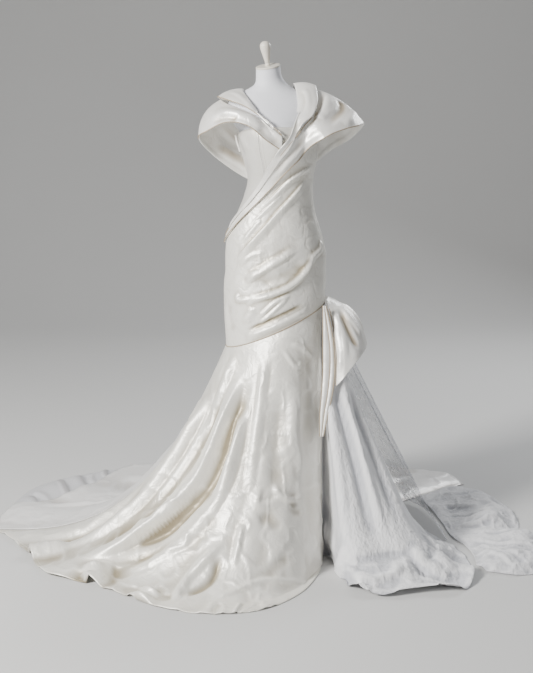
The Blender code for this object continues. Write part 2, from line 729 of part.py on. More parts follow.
def turned(name, profile, foot, axis, collection, finish, steps=32):
    """A profile of (radius, height) pairs, top to bottom, turned about an axis."""
    work = bmesh.new()
    points = [work.verts.new((radius, 0.0, height)) for radius, height in profile]
    for a, b in zip(points, points[1:]):
        work.edges.new((a, b))
    mesh = bpy.data.meshes.new(name)
    work.to_mesh(mesh)
    work.free()
    item = new_object(name, mesh, collection, finish)
    item.location = foot
    item.rotation_mode = "QUATERNION"
    item.rotation_quaternion = Vector((0, 0, 1)).rotation_difference(axis)
    screw = item.modifiers.new("Turned", "SCREW")
    screw.steps = steps
    screw.render_steps = steps
    screw.use_merge_vertices = True
    screw.merge_threshold = 0.00005
    return item


def build_form(collection):
    jersey = material("form jersey", FORM_WHITE, 0.75)
    ivory = material("turned ivory", CAP_IVORY, 0.45)
    metal = material("painted metal", POLE_GREY, 0.4, 0.3)
    build_torso(collection, jersey)

    axis = neck_axis()
    cap_foot = neck_centre() + axis * SEAM
    radius = (SHOULDERS[-1]["right"] - SHOULDERS[-1]["left"]) / 2 + 0.0008
    rim = 0.0015
    cap_profile = (
        (0.0, CAP_HEIGHT), (radius - rim, CAP_HEIGHT), (radius, CAP_HEIGHT - rim),
        (radius, rim), (radius - rim, 0.0), (0.0, 0.0),
    )
    turned("form_neck_cap", cap_profile, cap_foot, axis, collection, ivory)
    finial_profile = [(row["radius"], row["height"]) for row in FINIAL]
    finial_foot = cap_foot + axis * (CAP_HEIGHT + SEAM)
    turned("form_finial", finial_profile, finial_foot, axis, collection, ivory, steps=24)

    up = Vector((0, 0, 1))
    pole_top = FORM_BOTTOM - SEAM
    pole_foot = BASE_HEIGHT + SEAM
    pole_profile = (
        (0.0, pole_top - pole_foot), (POLE_RADIUS, pole_top - pole_foot),
        (POLE_RADIUS, 0.0), (0.0, 0.0),
    )
    turned("form_pole", pole_profile, Vector((0, 0, pole_foot)), up, collection, metal, steps=20)
    edge = 0.003
    base_profile = (
        (0.0, BASE_HEIGHT), (BASE_RADIUS - edge, BASE_HEIGHT), (BASE_RADIUS, BASE_HEIGHT - edge),
        (BASE_RADIUS, 0.0), (0.0, 0.0),
    )
    turned("form_base", base_profile, Vector((0, 0, 0)), up, collection, metal, steps=40)


def build_dress(collection):
    satin = material("ivory satin", SATIN, 0.34)
    organza = material("organza", ORGANZA, 0.40)
    tulle = material("tulle", TULLE, 0.70)

    names = ("bodice_front", "bodice_side_left", "bodice_side_right",
             "bodice_back_right", "bodice_back_left")
    for name, panel in zip(names, BODICE_PANELS):
        cloth(name, bodice(panel), 6, 4, collection, satin)

    left = rows(SECTION, *around_neck(COLLAR_LEFT))
    left_inner = rows(SECTION, *around_neck(COLLAR_LEFT_INNER))
    right = rows(SECTION, *across_front(BAND_END, 0.0, 1.0), *around_neck(COLLAR_RIGHT))
    band = across_front(BAND_END - BAND_STEP, BAND_INNER_LOW, BAND_INNER_HIGH)
    right_inner = rows(SECTION, *band[BAND_INNER_SKIP:], *around_neck(COLLAR_RIGHT_INNER))
    cloth("collar_left", strip(left, LEFT_COLLAR_LIFT), 20, 4, collection, satin)
    cloth("collar_left_inner", strip(left_inner, BAND_LIFT), 16, 2, collection, satin)
    cloth("collar_right", strip(right, RIGHT_COLLAR_LIFT), 28, 4, collection, satin)
    cloth("collar_right_inner", strip(right_inner, BAND_LIFT), 26, 2, collection, satin)

    gap = math.degrees(SEWN / 0.15)
    cloth("drape_front", drape(-90, 90 - gap), 28, 12, collection, satin)
    cloth("drape_back", drape(90, 270 - gap), 16, 8, collection, satin)

    cloth("skirt_front", falling(SKIRT_FRONT, DRAPE_LIFT, SKIRT_FOLDS), 54, 10, collection, satin)
    cloth("skirt_back", falling(SKIRT_BACK, DRAPE_LIFT, SKIRT_FOLDS), 26, 8, collection, satin)
    cloth("underskirt_train", lying(UNDERSKIRT_TRAIN), 10, 3, collection, organza)

    under = falling(TULLE_UNDERSKIRT, UNDERSKIRT_LIFT, TULLE_FOLDS)
    cloth("tulle_underskirt", under, 24, 8, collection, tulle)
    cloth("tulle_overlay", falling(TULLE_OVERLAY, OVERLAY_LIFT, ()), 8, 6, collection, tulle,
          THIN_CLOTH)
    cloth("tulle_train", lying(TULLE_TRAIN), 16, 3, collection, tulle)

    fan = rows(SECTION, *fan_sections(HIP_FAN))
    cloth("hip_fan", strip(fan, FAN_LIFT, FAN_HEART), 14, 6, collection, satin)
    cloth("sash_pleat_left", sash("left", "middle"), 4, 8, collection, satin, THIN_CLOTH)
    cloth("sash_pleat_right", sash("middle", "right"), 4, 8, collection, satin, THIN_CLOTH)

    def loop_place(u, v):
        row = read(HANGER_LOOP, "number", v * (len(HANGER_LOOP) - 1))
        return Vector((row["x"] + 0.005 * (u - 0.5), row["y"], row["z"]))

    cloth("hanger_loop", loop_place, 2, 5, collection, satin, THIN_CLOTH)


def main():
    for item in list(bpy.data.objects):
        bpy.data.objects.remove(item)
    collection = bpy.data.collections.new("wedding_dress")
    bpy.context.scene.collection.children.link(collection)
    build_form(collection)
    build_dress(collection)


main()
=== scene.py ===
"""Finish of the satin wedding dress on its dress form: cloth with its folds, tulle, seams, floor and light.

Metres, +Z up.  The dress faces -Y, left is -X.  Angles round the body are in degrees: 0 is the
front, 90 the right side, 180 the back and -90 the left side.  Each cloth is one open grid on its
solid's surface, with creases drawn on it as curves in the garment's own sizes.
"""

import math

import bpy
import numpy as np
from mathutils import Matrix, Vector


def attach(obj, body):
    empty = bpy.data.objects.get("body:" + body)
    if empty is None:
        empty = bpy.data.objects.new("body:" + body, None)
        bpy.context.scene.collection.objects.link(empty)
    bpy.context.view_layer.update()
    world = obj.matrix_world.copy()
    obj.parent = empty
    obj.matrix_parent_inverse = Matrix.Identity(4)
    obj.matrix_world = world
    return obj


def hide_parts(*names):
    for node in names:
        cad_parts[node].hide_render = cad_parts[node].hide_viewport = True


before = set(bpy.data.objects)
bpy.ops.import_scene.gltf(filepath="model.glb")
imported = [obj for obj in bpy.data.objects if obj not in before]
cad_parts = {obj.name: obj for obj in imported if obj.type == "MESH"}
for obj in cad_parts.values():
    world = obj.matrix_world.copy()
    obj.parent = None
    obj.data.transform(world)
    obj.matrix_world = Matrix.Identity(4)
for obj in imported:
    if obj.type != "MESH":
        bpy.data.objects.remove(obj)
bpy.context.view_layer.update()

# ---- the garment's sizes, in metres --------------------------------------------------------
SATIN_WALL = 0.0013
TULLE_WALL = 0.0006
HEM_TURN = 0.012         # width of a turned hem
CLOTH_REST = 0.0008      # least gap between the cloth's wall and the floor
HEM_REST = 0.0026        # the same below a fuller turned hem
# radius of the dark beige cords that paint the shadow lines along edges
SHADOW_CORD_RADIUS = 0.0015
STITCH_RADIUS = 0.0004
STITCH_LIFT = 0.0004
SEWN = 0.0007
HIP_SEAM = 0.0014
FLOOR_REST = 0.0026
FORM_INSIDE = -0.014
BODICE_LIFT = -0.005
DRAPE_LIFT = 0.0
LEFT_COLLAR_LIFT = 0.003
RIGHT_COLLAR_LIFT = 0.006
BAND_LIFT = 0.0105
FAN_LIFT = 0.0080
UNDERSKIRT_LIFT = -0.009
OVERLAY_LIFT = 0.004
NECK_LEAN = 8.0
NECK_NOD = 10.0
SASH_PLEAT = 0.004
COLLAR_HEART = (-0.01, 0.0, 1.38)
FAN_HEART = (0.10, -0.02, 0.62)
BODICE_UNDERLAP = 0.045
BODICE_TUCK = 0.0015


class Table:
    """A short table with named columns, read on a smooth curve through its rows."""

    def __init__(self, columns, *lines):
        self.names = columns.split() + ["number"]
        numbers = np.array([list(line) + [n] for n, line in enumerate(lines)], float)
        self.columns = dict(zip(self.names, numbers.T))
        self.count = len(lines)

    def rows(self):
        return [{name: self.columns[name][n] for name in self.names} for n in range(self.count)]

    def at(self, key, where):
        """Every column, at any values of the key column."""
        keys = self.columns[key]
        where = np.clip(np.asarray(where, float), keys[0], keys[-1])
        i = np.clip(np.searchsorted(keys, where, side="right") - 1, 0, len(keys) - 2)
        before = np.maximum(i - 1, 0)
        after = np.minimum(i + 2, len(keys) - 1)
        span = keys[i + 1] - keys[i]
        s = (where - keys[i]) / span
        values = {}
        for name, column in self.columns.items():
            leave = (column[i + 1] - column[before]) / (keys[i + 1] - keys[before]) * span
            arrive = (column[after] - column[i]) / (keys[after] - keys[i]) * span
            values[name] = (
                (2 * s**3 - 3 * s**2 + 1) * column[i]
                + (s**3 - 2 * s**2 + s) * leave
                + (3 * s**2 - 2 * s**3) * column[i + 1]
                + (s**3 - s**2) * arrive
            )
        return values


# ---- the garment's rings: half widths to the left and right of x = 0, depths front and back ----
BODY = Table(
    "height left right front back",
    (0.60, -0.165, 0.165, 0.130, 0.140),
    (0.70, -0.165, 0.165, 0.130, 0.145),
    (0.80, -0.170, 0.165, 0.135, 0.150),
    (0.90, -0.170, 0.170, 0.130, 0.160),
    (0.95, -0.165, 0.170, 0.125, 0.165),
    (1.00, -0.165, 0.170, 0.120, 0.160),
    (1.05, -0.160, 0.160, 0.115, 0.150),
    (1.10, -0.145, 0.145, 0.110, 0.130),
    (1.15, -0.125, 0.130, 0.100, 0.115),
    (1.20, -0.105, 0.125, 0.100, 0.100),
    (1.25, -0.095, 0.125, 0.105, 0.090),
    (1.30, -0.105, 0.135, 0.130, 0.095),
    (1.35, -0.120, 0.140, 0.148, 0.100),
    (1.40, -0.130, 0.145, 0.150, 0.105),
    (1.47, -0.150, 0.140, 0.110, 0.100),
)

# The form above the bodice: chest, shoulders and neck.  share is how much of the neck's slope a
# ring has.
SHOULDERS = Table(
    "height left right front back share",
    (1.44, -0.138, 0.130, 0.117, 0.092, 0.0),
    (1.465, -0.147, 0.130, 0.094, 0.086, 0.0),
    (1.49, -0.152, 0.126, 0.072, 0.078, 0.0),
    (1.508, -0.144, 0.113, 0.060, 0.068, 0.0),
    (1.522, -0.124, 0.093, 0.052, 0.059, 0.0),
    (1.533, -0.102, 0.073, 0.047, 0.051, 0.1),
    (1.545, -0.080, 0.050, 0.044, 0.044, 0.2),
    (1.555, -0.068, 0.036, 0.042, 0.042, 0.4),
    (1.567, -0.063, 0.026, 0.040, 0.040, 0.6),
    (1.580, -0.062, 0.020, 0.039, 0.039, 0.8),
    (1.607, -0.062, 0.016, 0.039, 0.039, 1.0),
)

# Turned profiles: distance from the axis at a height above the piece's foot.
FINIAL = Table(
    "radius height",
    (0.0, 0.0775),
    (0.006, 0.0770),
    (0.012, 0.0735),
    (0.0160, 0.0675),
    (0.0170, 0.0600),
    (0.0160, 0.0510),
    (0.0130, 0.0360),
    (0.0100, 0.0220),
    (0.0082, 0.0140),
    (0.0082, 0.0105),
    (0.0070, 0.0090),
    (0.0070, 0.0065),
    (0.0085, 0.0050),
    (0.0085, 0.0),
    (0.0, 0.0),
)

# The drape's upper edge runs under the collar's band, and its lower edge is the skirt's seam.
# Both are lowest at the left side and climb to the right side, over the front and over the back.
BAND_LOW = 1.050
BAND_HIGH = 1.390
BAND_FRONT_BOW = 1.25    # above 1 an edge hangs below a plain slope
BAND_BACK_BOW = 1.5
HIP_SEAM_LOW = 0.690
HIP_SEAM_HIGH = 0.838
HIP_SEAM_BOW = 1.15
BAND_LAP = 0.010         # how far the band reaches down over the drape
BAND_LEFT_DEPTH = 0.024  # from the band's upper to its lower edge, at the left side
BAND_FRONT_DEPTH = 0.085 # and where it opens into the right collar
BAND_STEP = 15           # degrees between the band's sections
BAND_CROWN = 0.001
BAND_INNER_LOW = 0.75    # the inner collar's strip on the band, as shares of the band's depth
BAND_INNER_HIGH = 1.20
BAND_INNER_SKIP = 1      # it starts this many sections in from the left side
BAND_END = 30            # direction in which the band opens into the collar

# The princess lines and side seams of the strapless bodice, and how high its top edge is.
BODICE_PANELS = Table(
    "start end top_start top_end",
    (-28, 45, 1.424, 1.424),
    (-88, -28, 1.392, 1.424),
    (45, 88, 1.424, 1.398),
    (88, 180, 1.398, 1.285),
    (180, 272, 1.285, 1.392),
)

# Collar pieces: each row is one section, cut straight out from the neck in the direction turn
# (0 the front, 90 the right, 180 the back), with the distance from the neck's middle and the
# height of the piece's upper and of its lower edge.  crown is how far it swells between them,
# and held is 1 where it lies on the body.
COLLAR_ROW = "turn upper_reach upper_height lower_reach lower_height crown held"
SECTION = "upper_x upper_y upper_z lower_x lower_y lower_z crown held"
COLLAR_LEFT = Table(
    COLLAR_ROW,
    (-187.4, 0.110, 1.310, 0.110, 1.195, 0.002, 0),
    (-170, 0.112, 1.330, 0.112, 1.205, 0.003, 0),
    (-150, 0.125, 1.370, 0.130, 1.225, 0.006, 0),
    (-130, 0.145, 1.425, 0.170, 1.260, 0.010, 0),
    (-110, 0.165, 1.485, 0.220, 1.320, 0.018, 0),
    (-90, 0.175, 1.505, 0.250, 1.380, 0.023, 0),
    (-70, 0.165, 1.495, 0.230, 1.410, 0.019, 0),
    (-50, 0.145, 1.480, 0.200, 1.440, 0.012, 0),
    (-30, 0.130, 1.460, 0.175, 1.430, 0.009, 0),
    (-10, 0.130, 1.430, 0.165, 1.385, 0.006, 0),
    (8, 0.155, 1.395, 0.165, 1.350, 0.001, 1),
)
COLLAR_LEFT_INNER = Table(
    COLLAR_ROW,
    (-187.4, 0.118, 1.350, 0.118, 1.300, 0.001, 0),
    (-170, 0.118, 1.385, 0.119, 1.325, 0.002, 0),
    (-150, 0.115, 1.445, 0.142, 1.380, 0.003, 0),
    (-130, 0.110, 1.500, 0.162, 1.445, 0.005, 0),
    (-110, 0.105, 1.530, 0.178, 1.490, 0.007, 0),
    (-90, 0.105, 1.540, 0.186, 1.513, 0.008, 0),
    (-70, 0.107, 1.530, 0.170, 1.508, 0.006, 0),
    (-50, 0.107, 1.505, 0.140, 1.492, 0.004, 0),
    (-30, 0.112, 1.472, 0.128, 1.468, 0.003, 0),
    (-10, 0.132, 1.437, 0.138, 1.442, 0.002, 0),
    (7, 0.152, 1.405, 0.160, 1.400, 0.001, 0),
)
# The right collar goes on from the band that crosses the front.
COLLAR_RIGHT = Table(
    COLLAR_ROW,
    (45, 0.155, 1.445, 0.215, 1.390, 0.008, 0),
    (60, 0.142, 1.470, 0.245, 1.415, 0.012, 0),
    (75, 0.130, 1.510, 0.275, 1.425, 0.016, 0),
    (90, 0.122, 1.540, 0.290, 1.425, 0.020, 0),
    (105, 0.125, 1.520, 0.260, 1.375, 0.020, 0),
    (120, 0.130, 1.485, 0.210, 1.330, 0.015, 0),
    (135, 0.130, 1.435, 0.160, 1.270, 0.008, 0),
    (150, 0.120, 1.380, 0.128, 1.225, 0.005, 0),
    (172, 0.110, 1.310, 0.110, 1.195, 0.002, 0),
)
COLLAR_RIGHT_INNER = Table(
    COLLAR_ROW,
    (30, 0.125, 1.450, 0.160, 1.430, 0.003, 0),
    (45, 0.100, 1.485, 0.168, 1.462, 0.006, 0),
    (60, 0.080, 1.520, 0.155, 1.495, 0.009, 0),
    (75, 0.066, 1.545, 0.140, 1.528, 0.009, 0),
    (90, 0.060, 1.557, 0.130, 1.551, 0.007, 0),
    (110, 0.062, 1.550, 0.135, 1.532, 0.008, 0),
    (130, 0.076, 1.530, 0.145, 1.470, 0.007, 0),
    (150, 0.100, 1.470, 0.138, 1.390, 0.004, 0),
    (172, 0.118, 1.350, 0.118, 1.300, 0.001, 0),
)

# The skirt: each row is one line from the seam to the hem.  reach is the share of the way, seen
# from above, at which the line meets the floor, and fall is how hollow it is on the way down.
SKIRT_ROW = "angle hem_x hem_y reach fall rest puff"
SKIRT_FRONT = Table(
    SKIRT_ROW,
    (-100, -0.985, 0.060, 1.00, 2.90, 0.0, 0.0),
    (-88, -0.905, -0.050, 1.00, 2.60, 0.0, 0.0),
    (-76, -0.835, -0.160, 1.00, 2.30, 0.0, 0.0),
    (-64, -0.750, -0.330, 0.98, 2.10, 0.0, 0.0),
    (-52, -0.630, -0.390, 0.96, 1.95, 0.0, 0.0),
    (-40, -0.500, -0.475, 0.94, 1.90, 0.0, 0.0),
    (-27, -0.365, -0.580, 0.92, 1.85, 0.0, 0.0),
    (-14, -0.245, -0.625, 0.90, 1.80, 0.0, 0.0),
    (0, -0.130, -0.630, 0.88, 1.75, 0.0, 0.0),
    (16, -0.015, -0.585, 0.88, 1.70, 0.0, 0.0),
    (32, 0.085, -0.470, 0.90, 1.60, 0.0, 0.0),
    (46, 0.140, -0.330, 0.94, 1.40, 0.0, 0.0),
    (58, 0.155, -0.240, 0.98, 1.20, 0.0, 0.0),
    (68, 0.160, -0.190, 1.00, 1.10, 0.0, 0.0),
)
SKIRT_BACK = Table(
    SKIRT_ROW,
    (-234, 0.745, 0.545, 0.55, 1.40, 0.0, 0.0),
    (-222, 0.650, 0.680, 0.60, 1.50, 0.0, 0.0),
    (-208, 0.380, 0.760, 0.72, 1.80, 0.0, 0.0),
    (-190, 0.020, 0.780, 0.80, 2.10, 0.0, 0.0),
    (-172, -0.360, 0.760, 0.84, 2.40, 0.0, 0.0),
    (-158, -0.600, 0.665, 0.88, 2.70, 0.009, 0.0),
    (-146, -0.705, 0.475, 0.90, 3.00, 0.009, 0.0),
    (-134, -0.800, 0.355, 0.92, 3.10, 0.009, 0.0),
    (-122, -0.945, 0.270, 0.94, 3.10, 0.009, 0.0),
    (-110, -0.990, 0.150, 0.98, 3.00, 0.0, 0.0),
    (-100.7, -0.986, 0.066, 1.00, 2.90, 0.0, 0.0),
)

# Folds of the skirt: the crest's angle at the seam and at the hem, its width in degrees at each
# end, where along the line it starts and where it is full, and its height.
SKIRT_FOLDS = Table(
    "seam hem wide_seam wide_hem start full height",
    (-82, -92, 6, 8, 0.10, 0.60, 0.028),
    (-62, -73, 6, 7, 0.12, 0.70, 0.028),
    (-43, -60, 6, 7, 0.10, 0.60, 0.036),
    (-33, -51, 5, 6, 0.15, 0.60, -0.020),
    (-24, -42, 5, 6, 0.10, 0.60, 0.026),
    (-10, -24, 5, 6, 0.05, 0.60, 0.016),
    (6, -6, 5, 6, 0.10, 0.65, 0.018),
    (22, 14, 5, 7, 0.05, 0.55, 0.014),
    (44, 38, 6, 8, 0.10, 0.55, -0.016),
    (-112, -118, 7, 8, 0.10, 0.60, 0.036),
    (-134, -142, 7, 8, 0.10, 0.60, 0.038),
    (-158, -162, 8, 9, 0.10, 0.60, 0.042),
    (-182, -184, 8, 9, 0.10, 0.60, 0.046),
    (-206, -204, 8, 9, 0.10, 0.60, 0.042),
    (-228, -226, 5, 6, 0.10, 0.60, 0.026),
)

# Tulle: the same kind of rows.  puff is how high the cloth billows before its hem.
TULLE_UNDERSKIRT = Table(
    SKIRT_ROW,
    (69, 0.150, -0.165, 1.00, 1.10, 0.0, 0.0),
    (70.5, 0.176, -0.178, 0.95, 1.15, 0.0, 0.0),
    (73, 0.206, -0.260, 0.82, 1.20, 0.0, 0.020),
    (77, 0.240, -0.450, 0.76, 1.20, 0.0, 0.040),
    (82, 0.330, -0.510, 0.76, 1.20, 0.0, 0.050),
    (87, 0.470, -0.480, 0.76, 1.20, 0.0, 0.050),
    (93, 0.590, -0.465, 0.76, 1.20, 0.0, 0.048),
    (98, 0.640, -0.370, 0.76, 1.20, 0.0, 0.045),
    (102, 0.648, -0.250, 0.76, 1.20, 0.0, 0.040),
    (106, 0.625, -0.130, 0.78, 1.20, 0.0, 0.030),
    (111, 0.565, -0.030, 0.80, 1.20, 0.0, 0.012),
    (117, 0.510, 0.050, 0.80, 1.20, 0.0, 0.0),
    (122, 0.450, 0.110, 0.80, 1.20, 0.0, 0.0),
)
TULLE_OVERLAY = Table(
    SKIRT_ROW,
    (97, 0.600, -0.050, 0.99, 1.05, 0.004, 0.0),
    (104, 0.592, 0.060, 0.99, 1.04, 0.004, 0.0),
    (112, 0.572, 0.190, 0.99, 1.04, 0.006, 0.0),
    (117, 0.545, 0.280, 0.99, 1.06, 0.008, 0.0),
    (121, 0.500, 0.345, 0.99, 1.10, 0.010, 0.0),
)
TULLE_FOLDS = Table(
    "seam hem wide_seam wide_hem start full height",
    (81, 81, 3, 3, 0.15, 0.60, 0.020),
    (87, 89, 3, 3, 0.15, 0.60, 0.022),
    (95, 97, 3, 3, 0.15, 0.60, 0.018),
    (102, 103, 2, 2, 0.15, 0.60, 0.010),
)

# Pieces that lie on the floor: rows from the inner edge, next to the skirt, to the outer edge.
FLOOR_ROW = "inner_x inner_y inner_z outer_x outer_y hump"
TULLE_TRAIN = Table(
    FLOOR_ROW,
    (0.664, -0.262, 0.006, 0.690, -0.310, 0.006),
    (0.668, -0.205, 0.006, 0.795, -0.340, 0.020),
    (0.664, -0.145, 0.006, 0.885, -0.300, 0.036),
    (0.650, -0.085, 0.006, 0.960, -0.190, 0.044),
    (0.625, -0.030, 0.006, 0.945, -0.065, 0.040),
    (0.612, 0.030, 0.006, 0.870, 0.030, 0.026),
    (0.606, 0.100, 0.006, 0.880, 0.130, 0.036),
    (0.594, 0.180, 0.006, 0.880, 0.240, 0.044),
    (0.578, 0.260, 0.010, 0.845, 0.365, 0.040),
    (0.560, 0.330, 0.014, 0.800, 0.465, 0.032),
    (0.552, 0.380, 0.016, 0.745, 0.505, 0.018),
)
UNDERSKIRT_TRAIN = Table(
    FLOOR_ROW,
    (-0.918, 0.235, 0.0026, -0.975, 0.280, 0.003),
    (-0.855, 0.295, 0.0026, -0.965, 0.370, 0.012),
    (-0.785, 0.342, 0.0026, -0.930, 0.490, 0.020),
    (-0.725, 0.410, 0.0026, -0.860, 0.585, 0.024),
    (-0.680, 0.490, 0.0026, -0.770, 0.650, 0.022),
    (-0.630, 0.590, 0.0026, -0.685, 0.700, 0.012),
    (-0.580, 0.668, 0.0026, -0.610, 0.730, 0.003),
)

# The fan at the right hip: each row is a fold from the gather at the seam to the fan's hem, with
# their directions (90 the right), the hem's distance from the body's middle, and their heights.
FAN_GATHER_REACH = 0.177
FAN_ROW = "gather_turn gather_height hem_turn hem_reach hem_height crown"
HIP_FAN = Table(
    FAN_ROW,
    (78, 0.850, 53, 0.250, 0.585, 0.018),
    (80, 0.852, 54, 0.265, 0.600, 0.022),
    (83, 0.854, 57, 0.280, 0.625, 0.024),
    (87, 0.856, 65, 0.300, 0.665, 0.026),
    (91, 0.856, 76, 0.310, 0.690, 0.028),
    (96, 0.854, 88, 0.310, 0.700, 0.030),
    (102, 0.850, 101, 0.305, 0.690, 0.028),
    (109, 0.845, 112, 0.300, 0.670, 0.022),
    (116, 0.838, 122, 0.280, 0.660, 0.014),
)
# The sash's two hanging pleats, from the tip up: the edges of both at each height.
SASH = Table(
    "height left middle right depth",
    (0.42, 0.148, 0.154, 0.160, -0.175),
    (0.49, 0.148, 0.162, 0.175, -0.158),
    (0.56, 0.154, 0.174, 0.190, -0.142),
    (0.63, 0.158, 0.181, 0.198, -0.124),
    (0.70, 0.158, 0.181, 0.195, -0.110),
    (0.77, 0.158, 0.173, 0.185, -0.098),
    (0.84, 0.158, 0.163, 0.169, -0.082),
)

# The loop of ribbon inside the left armhole, by which the dress hangs when it is put away.
HANGER_LOOP = Table(
    "x y z",
    (-0.128, -0.052, 1.394),
    (-0.124, -0.066, 1.376),
    (-0.117, -0.078, 1.356),
    (-0.113, -0.084, 1.344),
)


# ---- reading the garment's rings -----------------------------------------------------------
def ease(value):
    value = np.clip(value, 0.0, 1.0)
    return value * value * (3 - 2 * value)


def bump(share):
    """A rounded profile, 1 in the middle and 0 from one width away."""
    return np.where(np.abs(share) < 1, (1 - np.minimum(share * share, 1)) ** 2, 0.0)


def unit(vectors):
    return vectors / np.maximum(np.linalg.norm(vectors, axis=-1, keepdims=True), 1e-12)


def on_body(angle, height, lift=0.0):
    """Places on the garment's rings, moved out by lift."""
    ring = BODY.at("height", height)
    turn = np.radians(angle)
    depth = np.where(np.cos(turn) > 0, ring["front"], ring["back"]) + lift
    half = (ring["right"] - ring["left"]) / 2 + lift
    middle = (ring["right"] + ring["left"]) / 2
    x = middle + half * np.sin(turn)
    y = -depth * np.cos(turn)
    return np.stack([x, y, height + 0 * x], axis=-1)


def pressed(points, lift):
    """The places on the body under some points, and how far out the points are."""
    ring = BODY.at("height", points[..., 2])
    depth = np.where(points[..., 1] < 0, ring["front"], ring["back"]) + lift
    half = (ring["right"] - ring["left"]) / 2 + lift
    middle = (ring["right"] + ring["left"]) / 2
    across = (points[..., 0] - middle) / half
    along = points[..., 1] / depth
    share = np.maximum(np.hypot(across, along), 1e-6)
    laid = np.stack([middle + half * across / share, depth * along / share, points[..., 2]], -1)
    return laid, share


def drape_angle(angle):
    return (angle + 90) % 360 - 90


def drape_top(angle):
    """Height of the drape's upper edge, over the front and down again over the back."""
    front = np.sin(np.radians((np.minimum(angle, 90) + 90) / 2)) ** BAND_FRONT_BOW
    back = np.clip((270 - np.maximum(angle, 90)) / 180, 0, 1) ** BAND_BACK_BOW
    return BAND_LOW + (BAND_HIGH - BAND_LOW) * np.where(angle <= 90, front, back)


def drape_foot(angle):
    """Height of the drape's lower edge, the skirt's seam."""
    climb = np.where(angle <= 90, ease((angle + 90) / 180), np.clip((270 - angle) / 180, 0, 1))
    return HIP_SEAM_LOW + (HIP_SEAM_HIGH - HIP_SEAM_LOW) * climb**HIP_SEAM_BOW


def seam_point(angle, lift):
    height = drape_foot(drape_angle(angle))
    return on_body(angle, height - HIP_SEAM, lift)


# ---- surfaces: each takes two grids of shares from 0 to 1 and gives places -----------------
def drape(start, end):
    def place(u, v):
        angle = start + (end - start) * u
        top, foot = drape_top(angle), drape_foot(angle)
        return on_body(angle, top + (foot - top) * v, DRAPE_LIFT)

    return place


def bodice(panel):
    seam = math.degrees(SEWN / 0.12)

    def place(u, v):
        angle = panel["start"] + (panel["end"] - panel["start"] - seam) * u
        top = panel["top_start"] + (panel["top_end"] - panel["top_start"]) * u
        foot = drape_top(drape_angle(angle)) - BODICE_UNDERLAP
        foot = np.minimum(foot, top - 0.03)
        return on_body(angle, top + (foot - top) * v, BODICE_LIFT - BODICE_TUCK * v)

    return place


def outward(turn, reach):
    turn = math.radians(turn)
    return math.sin(turn) * reach, -math.cos(turn) * reach


def around_neck(table):
    """A collar's sections, from directions and distances to places."""
    return [(*outward(row["turn"], row["upper_reach"]), row["upper_height"],
             *outward(row["turn"], row["lower_reach"]), row["lower_height"],
             row["crown"], row["held"]) for row in table.rows()]


def fan_sections(table):
    """The hip fan's sections, from directions and distances to places."""
    return [(*outward(row["gather_turn"], FAN_GATHER_REACH), row["gather_height"],
             *outward(row["hem_turn"], row["hem_reach"]), row["hem_height"],
             row["crown"], 0) for row in table.rows()]


def across_front(last, lower_share, upper_share):
    """Sections of the band that lies on the body along the drape's upper edge."""
    sections = []
    for angle in range(-90, last + 1, BAND_STEP):
        depth = BAND_LEFT_DEPTH + (BAND_FRONT_DEPTH - BAND_LEFT_DEPTH) * (angle + 90) / (last + 90)
        hem = drape_top(angle) - BAND_LAP
        upper = on_body(angle, hem + depth * upper_share).tolist()
        lower = on_body(angle, hem + depth * lower_share).tolist()
        sections.append((*upper, *lower, BAND_CROWN, 1))
    return sections


def collar_tables():
    """The four collar pieces, each as a table of sections."""
    inner = across_front(BAND_END - BAND_STEP, BAND_INNER_LOW, BAND_INNER_HIGH)
    return {
        "collar_left": Table(SECTION, *around_neck(COLLAR_LEFT)),
        "collar_left_inner": Table(SECTION, *around_neck(COLLAR_LEFT_INNER)),
        "collar_right": Table(SECTION, *across_front(BAND_END, 0.0, 1.0),
                              *around_neck(COLLAR_RIGHT)),
        "collar_right_inner": Table(SECTION, *inner[BAND_INNER_SKIP:],
                                    *around_neck(COLLAR_RIGHT_INNER)),
    }


def strip(table, lift, heart=COLLAR_HEART):
    """Cloth between an upper and a lower edge, from the table's first section to its last."""

    def place(u, v):
        cut = table.at("number", u * (table.count - 1))
        upper = np.stack([cut["upper_x"], cut["upper_y"], cut["upper_z"]], -1)
        lower = np.stack([cut["lower_x"], cut["lower_y"], cut["lower_z"]], -1)
        point = upper + (lower - upper) * v[..., None]
        fall = unit(lower - upper)
        out = point - np.array(heart)
        out = unit(out - fall * (out * fall).sum(-1, keepdims=True))
        point = point + out * (cut["crown"] * 4 * v * (1 - v))[..., None]
        laid, share = pressed(point, lift)
        inside = (share < 1) & (point[..., 2] < BODY.columns["height"][-1])
        held = np.where(inside, 1.0, np.clip(cut["held"], 0, 1))
        return point + (laid - point) * held[..., None]

    return place


def falling(table, lift):
    """Cloth that falls from the hip seam to its hem and lies on the floor."""
    first, last = table.columns["angle"][0], table.columns["angle"][-1]

    def place(u, v):
        row = table.at("angle", first + (last - first) * u)
        top = seam_point(first + (last - first) * u, lift)
        h = v**1.45
        foot = FLOOR_REST + row["rest"] * ease((v - 0.6) / 0.4)
        fall = np.maximum(0.0, 1 - h / row["reach"]) ** row["fall"]
        puff = row["puff"] * np.sin(math.pi * ease((h - 0.5) / 0.5)) ** 2
        return np.stack([
            top[..., 0] + (row["hem_x"] - top[..., 0]) * h,
            top[..., 1] + (row["hem_y"] - top[..., 1]) * h,
            foot + (top[..., 2] - foot) * fall + puff,
        ], -1)

    return place


